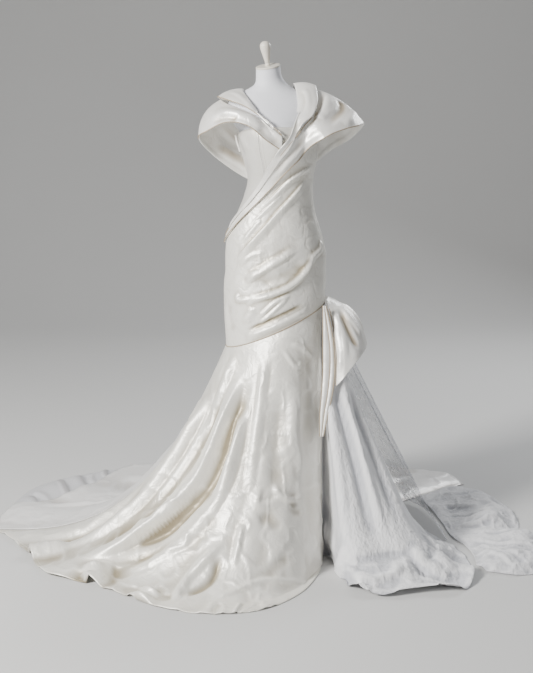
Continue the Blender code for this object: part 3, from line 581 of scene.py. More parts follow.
def lying(table):
    """Cloth that lies on the floor, humped between its inner and its outer edge."""

    def place(u, v):
        row = table.at("number", u * (table.count - 1))
        hump = row["hump"] * np.sin(math.pi * v**1.5) ** 1.3
        hump = hump * (0.85 + 0.15 * np.cos(u * math.tau * 5))
        return np.stack([
            row["inner_x"] + (row["outer_x"] - row["inner_x"]) * v,
            row["inner_y"] + (row["outer_y"] - row["inner_y"]) * v,
            row["inner_z"] + (FLOOR_REST - row["inner_z"]) * v + hump,
        ], -1)

    return place


def sash(left, right):
    def place(u, v):
        heights = SASH.columns["height"]
        row = SASH.at("height", heights[-1] + (heights[0] - heights[-1]) * v)
        width = row[right] - row[left] - SEWN
        bow = SASH_PLEAT * 4 * u * (1 - u)
        return np.stack([row[left] + width * u, row["depth"] - bow, row["height"]], -1)

    return place


# ---- relief: creases drawn on a surface, and the cloth's own unevenness ---------------------
def lattice(cells, seed):
    """A fixed pseudo-random number from -1 to 1 for each whole place."""
    n = cells[..., 0] * 374761393 + cells[..., 1] * 668265263 + cells[..., 2] * 2147483647
    n = (n + seed * 144269504) & 0xFFFFFFFF
    n = ((n ^ (n >> 13)) * 1274126177) & 0xFFFFFFFF
    n = ((n ^ (n >> 16)) * 2246822519) & 0xFFFFFFFF
    return ((n ^ (n >> 15)) & 0xFFFF) / 32767.5 - 1.0


def soft_noise(points, size, seed):
    """Smooth random values about 0 that change over the given size."""
    place = points / size
    low = np.floor(place).astype(np.int64)
    f = place - low
    f = f * f * f * (f * (f * 6 - 15) + 10)
    total = 0.0
    for corner in range(8):
        step = np.array([corner & 1, corner >> 1 & 1, corner >> 2 & 1])
        weight = np.prod(np.where(step, f, 1 - f), axis=-1)
        total = total + weight * lattice(low + step, seed)
    return total


def crumple(points, size, seed, sharp=2.0):
    """Small random creases: thin raised lines between soft hollows, from 0 to 1."""
    bent = points + 0.35 * size * np.stack(
        [soft_noise(points, size * 0.8, seed + k) for k in (11, 12, 13)], -1)
    fine = 1 - np.abs(soft_noise(bent, size, seed)) * 2.2
    return np.clip(fine, 0, 1) ** sharp


class Sheet:
    """A grid of places on a surface, with its outward directions, on which creases are put."""

    def __init__(self, place, across, down):
        self.place = place
        self.u, self.v = np.meshgrid(
            np.linspace(0, 1, across + 1), np.linspace(0, 1, down + 1), indexing="ij")
        self.plain = place(self.u, self.v)
        self.out = self.directions(self.plain)
        self.rise = np.zeros(self.u.shape)
        self.slide = np.zeros(self.plain.shape)

    @staticmethod
    def directions(points):
        across, down = np.gradient(points, axis=0), np.gradient(points, axis=1)
        return unit(np.cross(down, across))

    def line(self, corners, steps=36):
        """Places along a smooth curve through (u, v) corners drawn on the surface."""
        corners = np.array(corners, float)
        if len(corners) == 2:
            t = np.linspace(0, 1, steps)[:, None]
            drawn = corners[0] + (corners[1] - corners[0]) * t
        else:
            lines = Table("u v", *corners)
            t = np.linspace(0, len(corners) - 1, steps)
            cut = lines.at("number", t)
            drawn = np.stack([cut["u"], cut["v"]], -1)
        return self.place(np.clip(drawn[:, 0], 0, 1), np.clip(drawn[:, 1], 0, 1))

    def near(self, path, reach):
        """Distance to a path, its nearest step, and the side it lies on, near the path only."""
        low, high = path.min(0) - reach, path.max(0) + reach
        mask = ((self.plain > low) & (self.plain < high)).all(-1)
        points, out = self.plain[mask], self.out[mask]
        if not len(points):
            return mask, np.zeros(0), np.zeros(0), np.zeros(0)
        best = np.full(len(points), 1e9)
        share = np.zeros(len(points))
        side = np.zeros(len(points))
        for k in range(len(path) - 1):
            a, b = path[k], path[k + 1]
            step = b - a
            t = np.clip(((points - a) @ step) / max(step @ step, 1e-12), 0, 1)
            away = points - (a + t[:, None] * step)
            d = np.linalg.norm(away, axis=1)
            closer = d < best
            best = np.where(closer, d, best)
            share = np.where(closer, (k + t) / (len(path) - 1), share)
            turn = (np.cross(step, away) * out).sum(-1)
            side = np.where(closer, np.sign(turn), side)
        return mask, best, share, side

    def crease(self, corners, width, size, lean=0.0, taper=0.25, end_taper=None, end_width=None):
        """A ridge along a curve, or a trough if size is negative.

        lean from -1 to 1 makes one side steep, as on a pleat.  The crease grows from nothing over
        the share taper at its start and end_taper at its end."""
        path = self.line(corners)
        mask, d, share, side = self.near(path, width * 2.2)
        if not len(d):
            return
        wide = width + ((width if end_width is None else end_width) - width) * share
        wide = wide * (1 - lean * side * 0.75)
        grow = ease(share / max(taper, 1e-3))
        grow = grow * ease((1 - share) / max(taper if end_taper is None else end_taper, 1e-3))
        self.rise[mask] += size * bump(d / (wide * 1.7)) * grow

    def finished(self, calm=None):
        rise = self.rise if calm is None else self.rise * calm
        return self.plain + self.out * rise[..., None] + self.slide


def fade(u, v, left=0.0, right=0.0, top=0.0, foot=0.0):
    """1 inside a sheet and 0 at those of its edges that have a width given."""
    calm = np.ones(u.shape)
    for share, width in ((u, left), (1 - u, right), (v, top), (1 - v, foot)):
        if width:
            calm = calm * ease(share / width)
    return calm


# ---- making meshes ---------------------------------------------------------------------------
def new_piece(name, mesh, finish, replaces=()):
    piece = bpy.data.objects.new(name, mesh)
    bpy.context.scene.collection.objects.link(piece)
    if finish:
        mesh.materials.clear()
        mesh.materials.append(finish)
    mesh.shade_smooth()
    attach(piece, "root")
    if replaces:
        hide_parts(*replaces)
    return piece


def grid_mesh(name, points, closed=False):
    """A mesh through a grid of points, with a UV map in metres along the cloth."""
    across, down = points.shape[0] - 1, points.shape[1] - 1
    rows = np.arange((across + 1) * (down + 1)).reshape(across + 1, down + 1)
    faces = np.stack([rows[:-1, :-1], rows[:-1, 1:], rows[1:, 1:], rows[1:, :-1]], -1)
    faces = faces.reshape(-1, 4)
    if closed:
        wrap = np.stack([rows[-1, :-1], rows[-1, 1:], rows[0, 1:], rows[0, :-1]], -1)
        faces = np.concatenate([faces, wrap])
    mesh = bpy.data.meshes.new(name)
    mesh.from_pydata(points.reshape(-1, 3), (), faces.tolist())
    width = np.linalg.norm(np.diff(points, axis=0), axis=-1).sum(0).mean()
    length = np.linalg.norm(np.diff(points, axis=1), axis=-1).sum(1).mean()
    u, v = np.meshgrid(np.linspace(0, width, across + 1), np.linspace(0, length, down + 1),
                       indexing="ij")
    uv = np.stack([u, v], -1).reshape(-1, 2)
    layer = mesh.uv_layers.new(name="cloth")
    corners = np.empty(len(mesh.loops), np.int32)
    mesh.loops.foreach_get("vertex_index", corners)
    layer.data.foreach_set("uv", uv[corners].astype(np.float32).ravel())
    return mesh


def add_wall(piece, thickness, hem=0.0, edges="", grid=None):
    """Gives the cloth its thickness on the inner side, with fuller turned hems where named."""
    wall = piece.modifiers.new("Wall of cloth", "SOLIDIFY")
    wall.thickness = thickness
    wall.offset = -1.0
    if hem and edges:
        u, v, width, length = grid
        near = np.full(u.shape, 1e9)
        for edge, share, size in (("l", u, width), ("r", 1 - u, width),
                                  ("t", v, length), ("f", 1 - v, length)):
            if edge in edges:
                near = np.minimum(near, share * size)
        full = ease((HEM_TURN - near) / 0.004)
        group = piece.vertex_groups.new(name="hem")
        flat = full.ravel()
        for weight in range(0, 11):
            which = np.nonzero(np.abs(flat * 10 - weight) < 0.5)[0]
            if len(which):
                group.add(which.tolist(), weight / 10, "REPLACE")
        wall.thickness = hem
        wall.vertex_group = "hem"
        wall.thickness_vertex_group = thickness / hem
    return wall


def flat_area(points):
    """The area of a grid of places, before its creases."""
    across = np.diff(points, axis=0)[:, :-1]
    down = np.diff(points, axis=1)[:-1, :]
    return np.linalg.norm(np.cross(across, down), axis=-1).sum()


def cloth(name, sheet, finish, nodes, thickness=SATIN_WALL, calm=None, hem=0.0, edges=""):
    points = sheet.finished(calm)
    points[..., 2] = np.maximum(points[..., 2], thickness + (HEM_REST if hem else CLOTH_REST))
    mesh = grid_mesh(name, points)
    width = np.linalg.norm(np.diff(sheet.plain, axis=0), axis=-1).sum(0).mean()
    length = np.linalg.norm(np.diff(sheet.plain, axis=1), axis=-1).sum(1).mean()
    piece = new_piece(name, mesh, finish, nodes)
    add_wall(piece, thickness, hem, edges, (sheet.u, sheet.v, width, length))
    made[name] = points
    faces_out[name] = sheet.out
    return piece


made = {}
faces_out = {}
# ---- creases -------------------------------------------------------------------------------
# A crease runs through three places on its sheet, each a share across (u, from the left) and a
# share down (v).  width is its half width and size how far it stands out, both in metres: a
# trough is negative.  lean -1 to 1 makes one side of it steep.
CREASE = "u_a v_a u_b v_b u_c v_c width size lean"
DRAPE_CREASES = Table(
    CREASE,
    # the two long pleats that leave the right side, and a short one between them
    (0.85, 0.15, 0.60, 0.10, 0.35, 0.10, 0.008, 0.007, -0.7),
    (0.80, 0.20, 0.50, 0.25, 0.20, 0.35, 0.009, 0.008, -0.7),
    (0.55, 0.15, 0.45, 0.15, 0.30, 0.15, 0.005, 0.003, -0.4),
    # small rumples where the pleats end at the left
    (0.40, 0.20, 0.35, 0.20, 0.25, 0.25, 0.006, 0.003, 0.0),
    (0.45, 0.45, 0.35, 0.40, 0.25, 0.40, 0.006, 0.003, 0.3),
    (0.40, 0.40, 0.40, 0.45, 0.40, 0.50, 0.005, 0.002, 0.0),
    # the tongue and the hollow under it
    (0.65, 0.55, 0.45, 0.55, 0.30, 0.55, 0.012, 0.010, 0.4),
    (0.70, 0.65, 0.55, 0.65, 0.35, 0.60, 0.018, -0.007, 0.0),
    # the swag's rolled edge, its curl at the left and the bow of cloth at the right side
    (0.80, 0.65, 0.60, 0.75, 0.30, 0.70, 0.009, 0.011, 0.3),
    (0.35, 0.70, 0.25, 0.65, 0.25, 0.60, 0.007, 0.006, 0.0),
    (0.90, 0.60, 0.85, 0.65, 0.70, 0.65, 0.009, 0.006, 0.0),
    # the leaf, with its hollow
    (0.60, 0.80, 0.50, 0.80, 0.40, 0.85, 0.006, 0.005, 0.0),
    (0.60, 0.80, 0.50, 0.85, 0.40, 0.90, 0.006, 0.005, 0.0),
    # the groove over the hip seam, its ridge and the soft roll below
    (0.70, 0.90, 0.50, 0.90, 0.30, 0.90, 0.006, -0.006, 0.0),
    (0.75, 0.95, 0.50, 0.95, 0.30, 0.95, 0.010, 0.008, -0.3),
    (0.35, 0.75, 0.35, 0.80, 0.30, 0.85, 0.012, 0.004, 0.0),
    # slack at the left side and at the waist on the right
    (0.15, 0.60, 0.15, 0.75, 0.20, 0.90, 0.016, -0.004, 0.0),
    (0.80, 0.30, 0.80, 0.40, 0.80, 0.50, 0.025, -0.002, 0.0),
)
# Nobody sees the back of the drape: it is pleated in the same way, a little more evenly.
DRAPE_BACK_CREASES = Table(
    CREASE,
    (0.05, 0.15, 0.45, 0.20, 0.90, 0.20, 0.008, 0.006, 0.6),
    (0.05, 0.30, 0.50, 0.40, 0.95, 0.35, 0.009, 0.007, 0.5),
    (0.10, 0.45, 0.40, 0.55, 0.85, 0.50, 0.010, 0.006, 0.4),
    (0.05, 0.60, 0.55, 0.70, 0.95, 0.60, 0.009, 0.008, 0.5),
    (0.10, 0.80, 0.45, 0.85, 0.90, 0.80, 0.009, 0.007, 0.3),
    (0.30, 0.45, 0.50, 0.45, 0.75, 0.45, 0.015, -0.005, 0.0),
    (0.25, 0.60, 0.50, 0.65, 0.70, 0.60, 0.015, -0.005, 0.0),
)
SKIRT_CREASES = Table(
    CREASE,
    # the deep pleat: ridge, valley, ridge, valley, sweeping out to the left hem
    (0.40, 0.15, 0.35, 0.50, 0.20, 0.90, 0.022, 0.034, 0.4),
    (0.45, 0.15, 0.40, 0.50, 0.25, 0.80, 0.020, -0.026, 0.0),
    (0.45, 0.25, 0.45, 0.50, 0.30, 0.90, 0.020, 0.028, 0.0),
    (0.45, 0.45, 0.40, 0.65, 0.30, 0.85, 0.020, -0.016, 0.0),
    # broad folds at the left
    (0.20, 0.20, 0.20, 0.50, 0.15, 0.90, 0.024, 0.026, 0.3),
    (0.05, 0.45, 0.10, 0.70, 0.10, 0.95, 0.030, -0.024, 0.0),
    (0.30, 0.20, 0.30, 0.40, 0.25, 0.65, 0.018, -0.014, 0.0),
    (0.30, 0.05, 0.30, 0.25, 0.30, 0.40, 0.014, 0.010, 0.0),
    # two scallops lifted at the left hem, and the open fold beside them
    (0.25, 0.85, 0.30, 0.95, 0.30, 1.00, 0.035, 0.040, 0.0),
    (0.35, 0.95, 0.40, 0.95, 0.45, 0.90, 0.016, -0.016, 0.0),
    (0.15, 0.85, 0.15, 0.95, 0.15, 1.00, 0.040, 0.030, 0.0),
    (0.40, 0.90, 0.40, 0.95, 0.40, 1.00, 0.035, 0.030, 0.0),
    # the puff above the front hem
    (0.50, 0.65, 0.45, 0.80, 0.45, 0.95, 0.014, 0.016, 0.3),
    (0.50, 0.70, 0.50, 0.80, 0.45, 0.90, 0.012, -0.014, 0.0),
    (0.50, 0.90, 0.65, 0.80, 0.80, 0.90, 0.009, 0.008, -0.4),
    # gathers at the hem
    (0.55, 0.90, 0.55, 0.95, 0.55, 1.00, 0.008, -0.014, 0.0),
    (0.60, 0.90, 0.60, 0.95, 0.60, 1.00, 0.006, 0.010, 0.0),
    (0.65, 0.90, 0.65, 0.95, 0.65, 1.00, 0.008, -0.008, 0.0),
    # the rumpled patch at the right
    (0.60, 0.50, 0.60, 0.55, 0.70, 0.55, 0.012, 0.008, 0.4),
    (0.60, 0.60, 0.65, 0.60, 0.70, 0.65, 0.018, -0.007, 0.0),
    (0.65, 0.50, 0.70, 0.55, 0.80, 0.60, 0.009, 0.009, 0.3),
    (0.75, 0.55, 0.75, 0.60, 0.80, 0.65, 0.018, -0.008, 0.0),
    (0.55, 0.60, 0.55, 0.65, 0.55, 0.75, 0.010, 0.010, 0.3),
    (0.65, 0.80, 0.70, 0.75, 0.75, 0.75, 0.016, -0.006, 0.0),
    # long soft shadows, and fine crossing wrinkles near the seam
    (0.65, 0.25, 0.65, 0.40, 0.70, 0.55, 0.030, -0.010, 0.0),
    (0.85, 0.15, 0.85, 0.35, 0.85, 0.55, 0.030, -0.009, 0.0),
    (0.75, 0.25, 0.75, 0.40, 0.80, 0.55, 0.020, 0.010, 0.0),
    (0.55, 0.10, 0.55, 0.30, 0.55, 0.55, 0.014, 0.010, 0.0),
    (0.70, 0.10, 0.80, 0.15, 0.90, 0.25, 0.008, 0.006, 0.4),
    (0.65, 0.10, 0.75, 0.20, 0.80, 0.20, 0.007, 0.005, 0.0),
    # short nicks across the ridges
    (0.35, 0.55, 0.30, 0.60, 0.30, 0.65, 0.007, 0.007, 0.0),
    (0.30, 0.65, 0.25, 0.65, 0.25, 0.70, 0.007, 0.006, 0.0),
    (0.40, 0.65, 0.40, 0.70, 0.35, 0.75, 0.007, 0.007, 0.0),
    (0.20, 0.45, 0.15, 0.45, 0.10, 0.50, 0.007, 0.006, 0.0),
)
# The skirt's back, unseen, falls in the same kind of long folds.
BACK_SKIRT_CREASES = Table(
    CREASE,
    (0.15, 0.20, 0.15, 0.60, 0.10, 0.95, 0.022, 0.024, 0.3),
    (0.25, 0.30, 0.25, 0.60, 0.20, 0.90, 0.024, -0.020, 0.0),
    (0.35, 0.15, 0.35, 0.55, 0.35, 0.95, 0.020, 0.028, 0.0),
    (0.45, 0.25, 0.45, 0.60, 0.45, 0.90, 0.024, -0.022, 0.0),
    (0.55, 0.10, 0.55, 0.50, 0.60, 0.95, 0.022, 0.028, -0.3),
    (0.65, 0.30, 0.70, 0.60, 0.70, 0.90, 0.022, -0.018, 0.0),
    (0.80, 0.20, 0.80, 0.60, 0.85, 0.95, 0.020, 0.022, 0.3),
    (0.30, 0.70, 0.35, 0.70, 0.40, 0.75, 0.009, 0.008, 0.0),
    (0.60, 0.60, 0.60, 0.65, 0.65, 0.70, 0.009, 0.008, 0.0),
)
RIGHT_COLLAR_CREASES = Table(
    CREASE,
    (0.55, 0.20, 0.60, 0.25, 0.70, 0.25, 0.013, 0.007, 0.3),
    (0.55, 0.60, 0.65, 0.55, 0.70, 0.45, 0.014, -0.008, 0.0),
    (0.60, 0.90, 0.65, 0.80, 0.70, 0.75, 0.012, 0.005, 0.0),
    (0.50, 0.15, 0.55, 0.10, 0.60, 0.05, 0.007, -0.005, 0.0),
    (0.30, 0.70, 0.45, 0.70, 0.55, 0.75, 0.010, 0.004, 0.0),
    (0.30, 0.40, 0.40, 0.40, 0.50, 0.35, 0.010, -0.003, 0.0),
    (0.80, 0.20, 0.80, 0.50, 0.80, 0.80, 0.014, 0.005, 0.0),
    (0.90, 0.20, 0.90, 0.50, 0.90, 0.80, 0.014, -0.005, 0.0),
)
TULLE_CREASES = Table(
    CREASE,
    (0.15, 0.30, 0.20, 0.50, 0.20, 0.75, 0.014, 0.010, 0.0),
    (0.25, 0.30, 0.30, 0.50, 0.30, 0.75, 0.016, -0.012, 0.0),
    (0.35, 0.30, 0.35, 0.50, 0.35, 0.75, 0.018, 0.014, 0.3),
    (0.40, 0.35, 0.45, 0.50, 0.45, 0.70, 0.018, -0.012, 0.0),
    (0.15, 0.85, 0.25, 0.90, 0.35, 0.85, 0.016, 0.014, 0.0),
    (0.20, 0.80, 0.30, 0.80, 0.40, 0.80, 0.014, -0.010, 0.0),
    (0.45, 0.75, 0.45, 0.85, 0.50, 0.95, 0.018, 0.014, 0.0),
    (0.40, 0.75, 0.40, 0.85, 0.40, 0.90, 0.014, -0.012, 0.0),
    (0.60, 0.75, 0.60, 0.85, 0.65, 0.95, 0.014, 0.012, 0.0),
    (0.75, 0.70, 0.75, 0.80, 0.75, 0.95, 0.014, 0.012, 0.0),
)
VEIL_CREASES = Table(
    CREASE,
    (0.20, 0.10, 0.20, 0.50, 0.20, 0.90, 0.010, 0.006, 0.0),
    (0.45, 0.10, 0.45, 0.50, 0.50, 0.90, 0.010, -0.006, 0.0),
    (0.75, 0.10, 0.70, 0.50, 0.75, 0.90, 0.010, 0.006, 0.0),
)
LEFT_COLLAR_CREASES = Table(
    CREASE,
    (0.60, 0.80, 0.70, 0.80, 0.75, 0.85, 0.012, -0.006, 0.0),
    (0.85, 0.60, 0.90, 0.70, 1.00, 0.60, 0.012, -0.005, 0.0),
    (0.60, 0.40, 0.75, 0.50, 0.90, 0.40, 0.012, 0.005, 0.0),
    (0.20, 0.30, 0.30, 0.50, 0.40, 0.50, 0.014, 0.005, 0.0),
    (0.20, 0.70, 0.30, 0.70, 0.40, 0.80, 0.014, -0.005, 0.0),
)
LEFT_ROLL_CREASES = Table(
    CREASE,
    (0.55, 0.50, 0.65, 0.40, 0.80, 0.50, 0.008, 0.003, 0.0),
)
RIGHT_ROLL_CREASES = Table(
    CREASE,
    (0.65, 0.30, 0.60, 0.50, 0.50, 0.60, 0.008, 0.003, 0.0),
    (0.50, 0.70, 0.40, 0.60, 0.30, 0.50, 0.008, -0.003, 0.0),
)
FAN_CREASES = Table(
    CREASE,
    (0.25, 0.15, 0.25, 0.50, 0.20, 0.90, 0.012, 0.006, 0.0),
    (0.35, 0.20, 0.35, 0.55, 0.40, 0.90, 0.011, -0.009, 0.0),
    (0.45, 0.20, 0.45, 0.50, 0.50, 0.85, 0.010, 0.007, 0.0),
    (0.10, 0.30, 0.10, 0.60, 0.10, 0.90, 0.008, 0.004, 0.0),
    (0.65, 0.20, 0.65, 0.50, 0.65, 0.90, 0.012, 0.006, 0.0),
    (0.80, 0.20, 0.80, 0.50, 0.80, 0.90, 0.012, -0.006, 0.0),
)
TRAIN_CREASES = Table(
    CREASE,
    (0.45, 0.10, 0.40, 0.40, 0.40, 0.80, 0.009, -0.008, 0.0),
    (0.35, 0.10, 0.30, 0.40, 0.30, 0.80, 0.010, 0.009, 0.0),
    (0.25, 0.15, 0.20, 0.45, 0.15, 0.85, 0.009, -0.008, 0.0),
    (0.20, 0.20, 0.15, 0.50, 0.10, 0.80, 0.009, 0.007, 0.0),
    (0.55, 0.10, 0.55, 0.40, 0.60, 0.80, 0.010, 0.010, 0.0),
    (0.70, 0.10, 0.65, 0.35, 0.65, 0.60, 0.010, -0.009, 0.0),
    (0.80, 0.15, 0.75, 0.35, 0.70, 0.60, 0.010, 0.008, 0.0),
    (0.90, 0.20, 0.85, 0.50, 0.85, 0.80, 0.010, 0.007, 0.0),
)
ORGANZA_CREASES = Table(
    CREASE,
    (0.20, 0.15, 0.25, 0.50, 0.25, 0.85, 0.016, 0.012, 0.0),
    (0.40, 0.10, 0.45, 0.50, 0.50, 0.90, 0.014, -0.010, 0.0),
    (0.65, 0.15, 0.65, 0.50, 0.70, 0.85, 0.016, 0.012, 0.0),
    (0.80, 0.20, 0.80, 0.50, 0.85, 0.90, 0.012, -0.008, 0.0),
)


def draw(sheet, creases):
    """Puts a table of creases on a sheet."""
    for row in creases.rows():
        corners = [(row["u_" + place], row["v_" + place]) for place in "abc"]
        end = 0.02 if row["v_c"] == 1.0 else 0.25
        sheet.crease(corners, row["width"], row["size"], row["lean"], 0.25, end)


# ---- finishes --------------------------------------------------------------------------------
class Value:
    """A number that varies over a surface; arithmetic on it adds Math nodes."""

    def __init__(self, finish, socket):
        self.finish, self.socket = finish, socket

    def maths(self, operation, *numbers):
        named = {k: number for k, number in enumerate(numbers)}
        return self.finish.value("ShaderNodeMath", {"operation": operation}, named)

    def __add__(self, other):
        return self.maths("ADD", self, other)

    __radd__ = __add__

    def __mul__(self, other):
        return self.maths("MULTIPLY", self, other)

    __rmul__ = __mul__

    def __sub__(self, other):
        return self.maths("SUBTRACT", self, other)

    def __rsub__(self, other):
        return self.maths("SUBTRACT", other, self)

    def __pow__(self, other):
        return self.maths("POWER", self, other)

    def __abs__(self):
        return self.maths("ABSOLUTE", self)

    def kept(self):
        """Held between 0 and 1."""
        return self.finish.value("ShaderNodeClamp", {}, {"Value": self})


class Finish:
    """One procedural material, built from its shader outwards."""

    def __init__(self, name, **constants):
        self.material = bpy.data.materials.new(name)
        self.material.use_nodes = True
        self.tree = self.material.node_tree
        self.shader = self.tree.nodes["Principled BSDF"]
        for socket, number in constants.items():
            self.shader.inputs[socket.replace("_", " ")].default_value = number
        self.object_place = self.node("ShaderNodeTexCoord").outputs["Object"]

    def node(self, kind, settings=None, inputs=None):
        made_node = self.tree.nodes.new(kind)
        for setting, wanted in (settings or {}).items():
            setattr(made_node, setting, wanted)
        for socket, wanted in (inputs or {}).items():
            target = made_node.inputs[socket]
            source = wanted.socket if isinstance(wanted, Value) else wanted
            if isinstance(source, bpy.types.NodeSocket):
                self.tree.links.new(source, target)
            else:
                target.default_value = source
        return made_node

    def value(self, kind, settings=None, inputs=None, output=0):
        return Value(self, self.node(kind, settings, inputs).outputs[output])

    def noise(self, scale, detail=3.0, roughness=0.55, distortion=0.0, place=None):
        return self.value("ShaderNodeTexNoise", {}, {
            "Vector": place or self.object_place, "Scale": scale, "Detail": detail,
            "Roughness": roughness, "Distortion": distortion})

    def stretched(self, scale):
        """Object places, scaled differently along each axis."""
        return self.node("ShaderNodeMapping", {}, {
            "Vector": self.object_place, "Scale": scale}).outputs[0]

    def weave_place(self):
        return self.node("ShaderNodeUVMap", {"uv_map": "cloth"}).outputs[0]

    def mix(self, share, low, high):
        """A colour between two colours."""
        return self.node("ShaderNodeMix", {"data_type": "RGBA"}, {
            0: share, 6: (*low, 1) if isinstance(low, tuple) else low,
            7: (*high, 1) if isinstance(high, tuple) else high}).outputs[2]

    def attribute(self, name):
        return self.value("ShaderNodeAttribute", {"attribute_name": name}, output="Fac")

    def feed(self, socket, wanted):
        source = wanted.socket if isinstance(wanted, Value) else wanted
        self.tree.links.new(source, self.shader.inputs[socket])

    def relief(self, height, distance, strength=1.0, under=None):
        inputs = {"Height": height, "Distance": distance, "Strength": strength}
        if under is not None:
            inputs["Normal"] = under
        return self.node("ShaderNodeBump", {}, inputs).outputs[0]


def weave_threads(finish, threads):
    """Fine crossing threads, a given number to the metre, along the cloth's own map."""
    place = finish.weave_place()
    warp = finish.value("ShaderNodeTexWave", {"bands_direction": "X"}, {
        "Vector": place, "Scale": threads / 20, "Distortion": 0.6, "Detail": 1.0}, "Fac")
    weft = finish.value("ShaderNodeTexWave", {"bands_direction": "Y"}, {
        "Vector": place, "Scale": threads / 20, "Distortion": 0.6, "Detail": 1.0}, "Fac")
    return warp * 0.7 + weft * 0.3


def make_satin(name, light, deep, roughness=0.33, crease=1.0):
    satin = Finish(name, Metallic=0.30, Specular_IOR_Level=0.5, Sheen_Weight=0.12, Sheen_Roughness=0.4)
    broad = satin.noise(5.0, 2.0)
    # Painted shade: the base colour goes from light to deep where the cloth lies in a hollow, with a broad
    # random tone on top.
    hollow = satin.attribute("hollow")
    shade_and_tone = (hollow * 1.15 + (broad - 0.5) * 0.3).kept()
    satin.feed("Base Color", satin.mix(shade_and_tone, light, deep))
    satin.feed("Roughness", roughness + (satin.noise(24.0, 3.0) - 0.5) * 0.16)
    wrinkle = abs(satin.noise(26.0, 2.5, 0.5, 0.9) - 0.5)
    soft = satin.noise(11.0, 2.0, 0.5, 0.4)
    first = satin.relief(soft, 0.010 * crease, 0.5)
    second = satin.relief(wrinkle, 0.0060 * crease, 0.55, first)
    satin.feed("Normal", satin.relief(weave_threads(satin, 900), 0.00012, 0.5, second))
    return satin.material


def make_tulle(name, light, deep, alpha, spread):
    tulle = Finish(name, Specular_IOR_Level=0.25, Sheen_Weight=0.35, Sheen_Roughness=0.5,
                   Roughness=0.75)
    cloud = tulle.noise(7.0, 3.0, 0.6, 0.5)
    strands = tulle.noise(1.0, 2.0, 0.6, 0.3, tulle.stretched((60.0, 60.0, 9.0)))
    # Painted shade: the tulle's base colour goes towards deep in its hollows, with a random cloudy tone on
    # top.
    shade_and_tone = (tulle.attribute("hollow") * 0.8 + (cloud - 0.5) * 0.5).kept()
    tulle.feed("Base Color", tulle.mix(shade_and_tone, light, deep))
    tulle.feed("Alpha", (alpha + (cloud - 0.5) * spread + (strands - 0.5) * spread).kept())
    rough = tulle.relief(strands, 0.010, 0.7)
    tulle.feed("Normal", tulle.relief(tulle.noise(220.0, 2.0), 0.0004, 0.5, rough))
    return tulle.material


def make_plain(name, light, deep, roughness, grain, depth, **constants):
    plain = Finish(name, **constants)
    plain.feed("Base Color", plain.mix(plain.noise(9.0, 3.0), light, deep))
    plain.feed("Roughness", roughness + (plain.noise(40.0, 3.0) - 0.5) * 0.12)
    plain.feed("Normal", plain.relief(plain.noise(grain, 3.0), depth, 0.4))
    return plain.material


def make_jersey():
    jersey = Finish("form jersey", Sheen_Weight=0.15)
    knit = jersey.value("ShaderNodeTexWave", {"bands_direction": "X"}, {
        "Vector": jersey.object_place, "Scale": 90.0, "Distortion": 1.5, "Detail": 2.0}, "Fac")
    jersey.feed("Base Color", jersey.mix(jersey.noise(6.0), (0.80, 0.81, 0.85), (0.72, 0.73, 0.78)))
    jersey.feed("Roughness", 0.62 + (jersey.noise(30.0) - 0.5) * 0.1)
    jersey.feed("Normal", jersey.relief(knit, 0.00025, 0.4))
    return jersey.material


def make_floor():
    floor = Finish("plain floor", Specular_IOR_Level=0.2)
    floor.feed("Base Color", floor.mix(floor.noise(1.2, 4.0), (0.62, 0.62, 0.615), (0.60, 0.60, 0.595)))
    floor.feed("Roughness", 0.72 + (floor.noise(3.0) - 0.5) * 0.1)
    return floor.material


# For each satin and tulle: its own colour, then the darker colour that is painted into its hollows as shade
# and also gives its random tone.
SATIN = make_satin("ivory satin", (0.92, 0.90, 0.835), (0.36, 0.31, 0.22), 0.44)
BODICE_SATIN = make_satin("bodice satin", (0.78, 0.765, 0.72), (0.48, 0.42, 0.34), 0.36, 0.5)
COLLAR_SATIN = make_satin("collar satin", (0.93, 0.915, 0.875), (0.48, 0.41, 0.31), 0.40, 0.6)
TRAIN_SATIN = make_satin("train satin", (0.88, 0.87, 0.86), (0.48, 0.43, 0.38), 0.42, 0.9)
ORGANZA = make_satin("organza", (0.74, 0.74, 0.76), (0.50, 0.49, 0.50), 0.42, 0.6)
INNER_TULLE = make_tulle("white tulle", (0.90, 0.90, 0.915), (0.55, 0.56, 0.60), 0.90, 0.30)
VEIL_TULLE = make_tulle("veil tulle", (0.78, 0.79, 0.83), (0.45, 0.46, 0.50), 0.30, 0.30)
TRAIN_TULLE = make_tulle("train tulle", (0.88, 0.88, 0.90), (0.52, 0.53, 0.57), 0.78, 0.35)
# Painted shadow: a dark beige for the cords laid along the collar, band, fan, sash and hip-seam edges,
# standing for the shade line there.
EDGE_SHADOW_BEIGE = make_plain("painted edge shadow", (0.42, 0.33, 0.22), (0.30, 0.23, 0.15), 0.5, 900.0, 0.0002)
THREAD = make_plain("ivory thread", (0.80, 0.78, 0.72), (0.70, 0.67, 0.60), 0.6, 2000.0, 0.0001)
JERSEY = make_jersey()
IVORY = make_plain("turned ivory", (0.80, 0.76, 0.68), (0.72, 0.67, 0.58), 0.34, 60.0, 0.0004,
                   Coat_Weight=0.3)
POLE_PAINT = make_plain("painted metal", (0.50, 0.50, 0.52), (0.44, 0.44, 0.46), 0.42, 300.0,
                        0.0002, Metallic=0.3)
# ---- painted shadow cords along edges, and stitches ----------------------------------------
def start_tool(name, *numbers):
    """A Geometry Nodes tool that takes a drawn line, some sizes and a finish."""
    tool = bpy.data.node_groups.new(name, "GeometryNodeTree")
    tool.interface.new_socket("Line", in_out="INPUT", socket_type="NodeSocketGeometry")
    for number in numbers:
        tool.interface.new_socket(number, in_out="INPUT", socket_type="NodeSocketFloat")
    tool.interface.new_socket("Finish", in_out="INPUT", socket_type="NodeSocketMaterial")
    tool.interface.new_socket("Trim", in_out="OUTPUT", socket_type="NodeSocketGeometry")
    return tool, tool.nodes.new("NodeGroupInput"), tool.nodes.new("NodeGroupOutput")


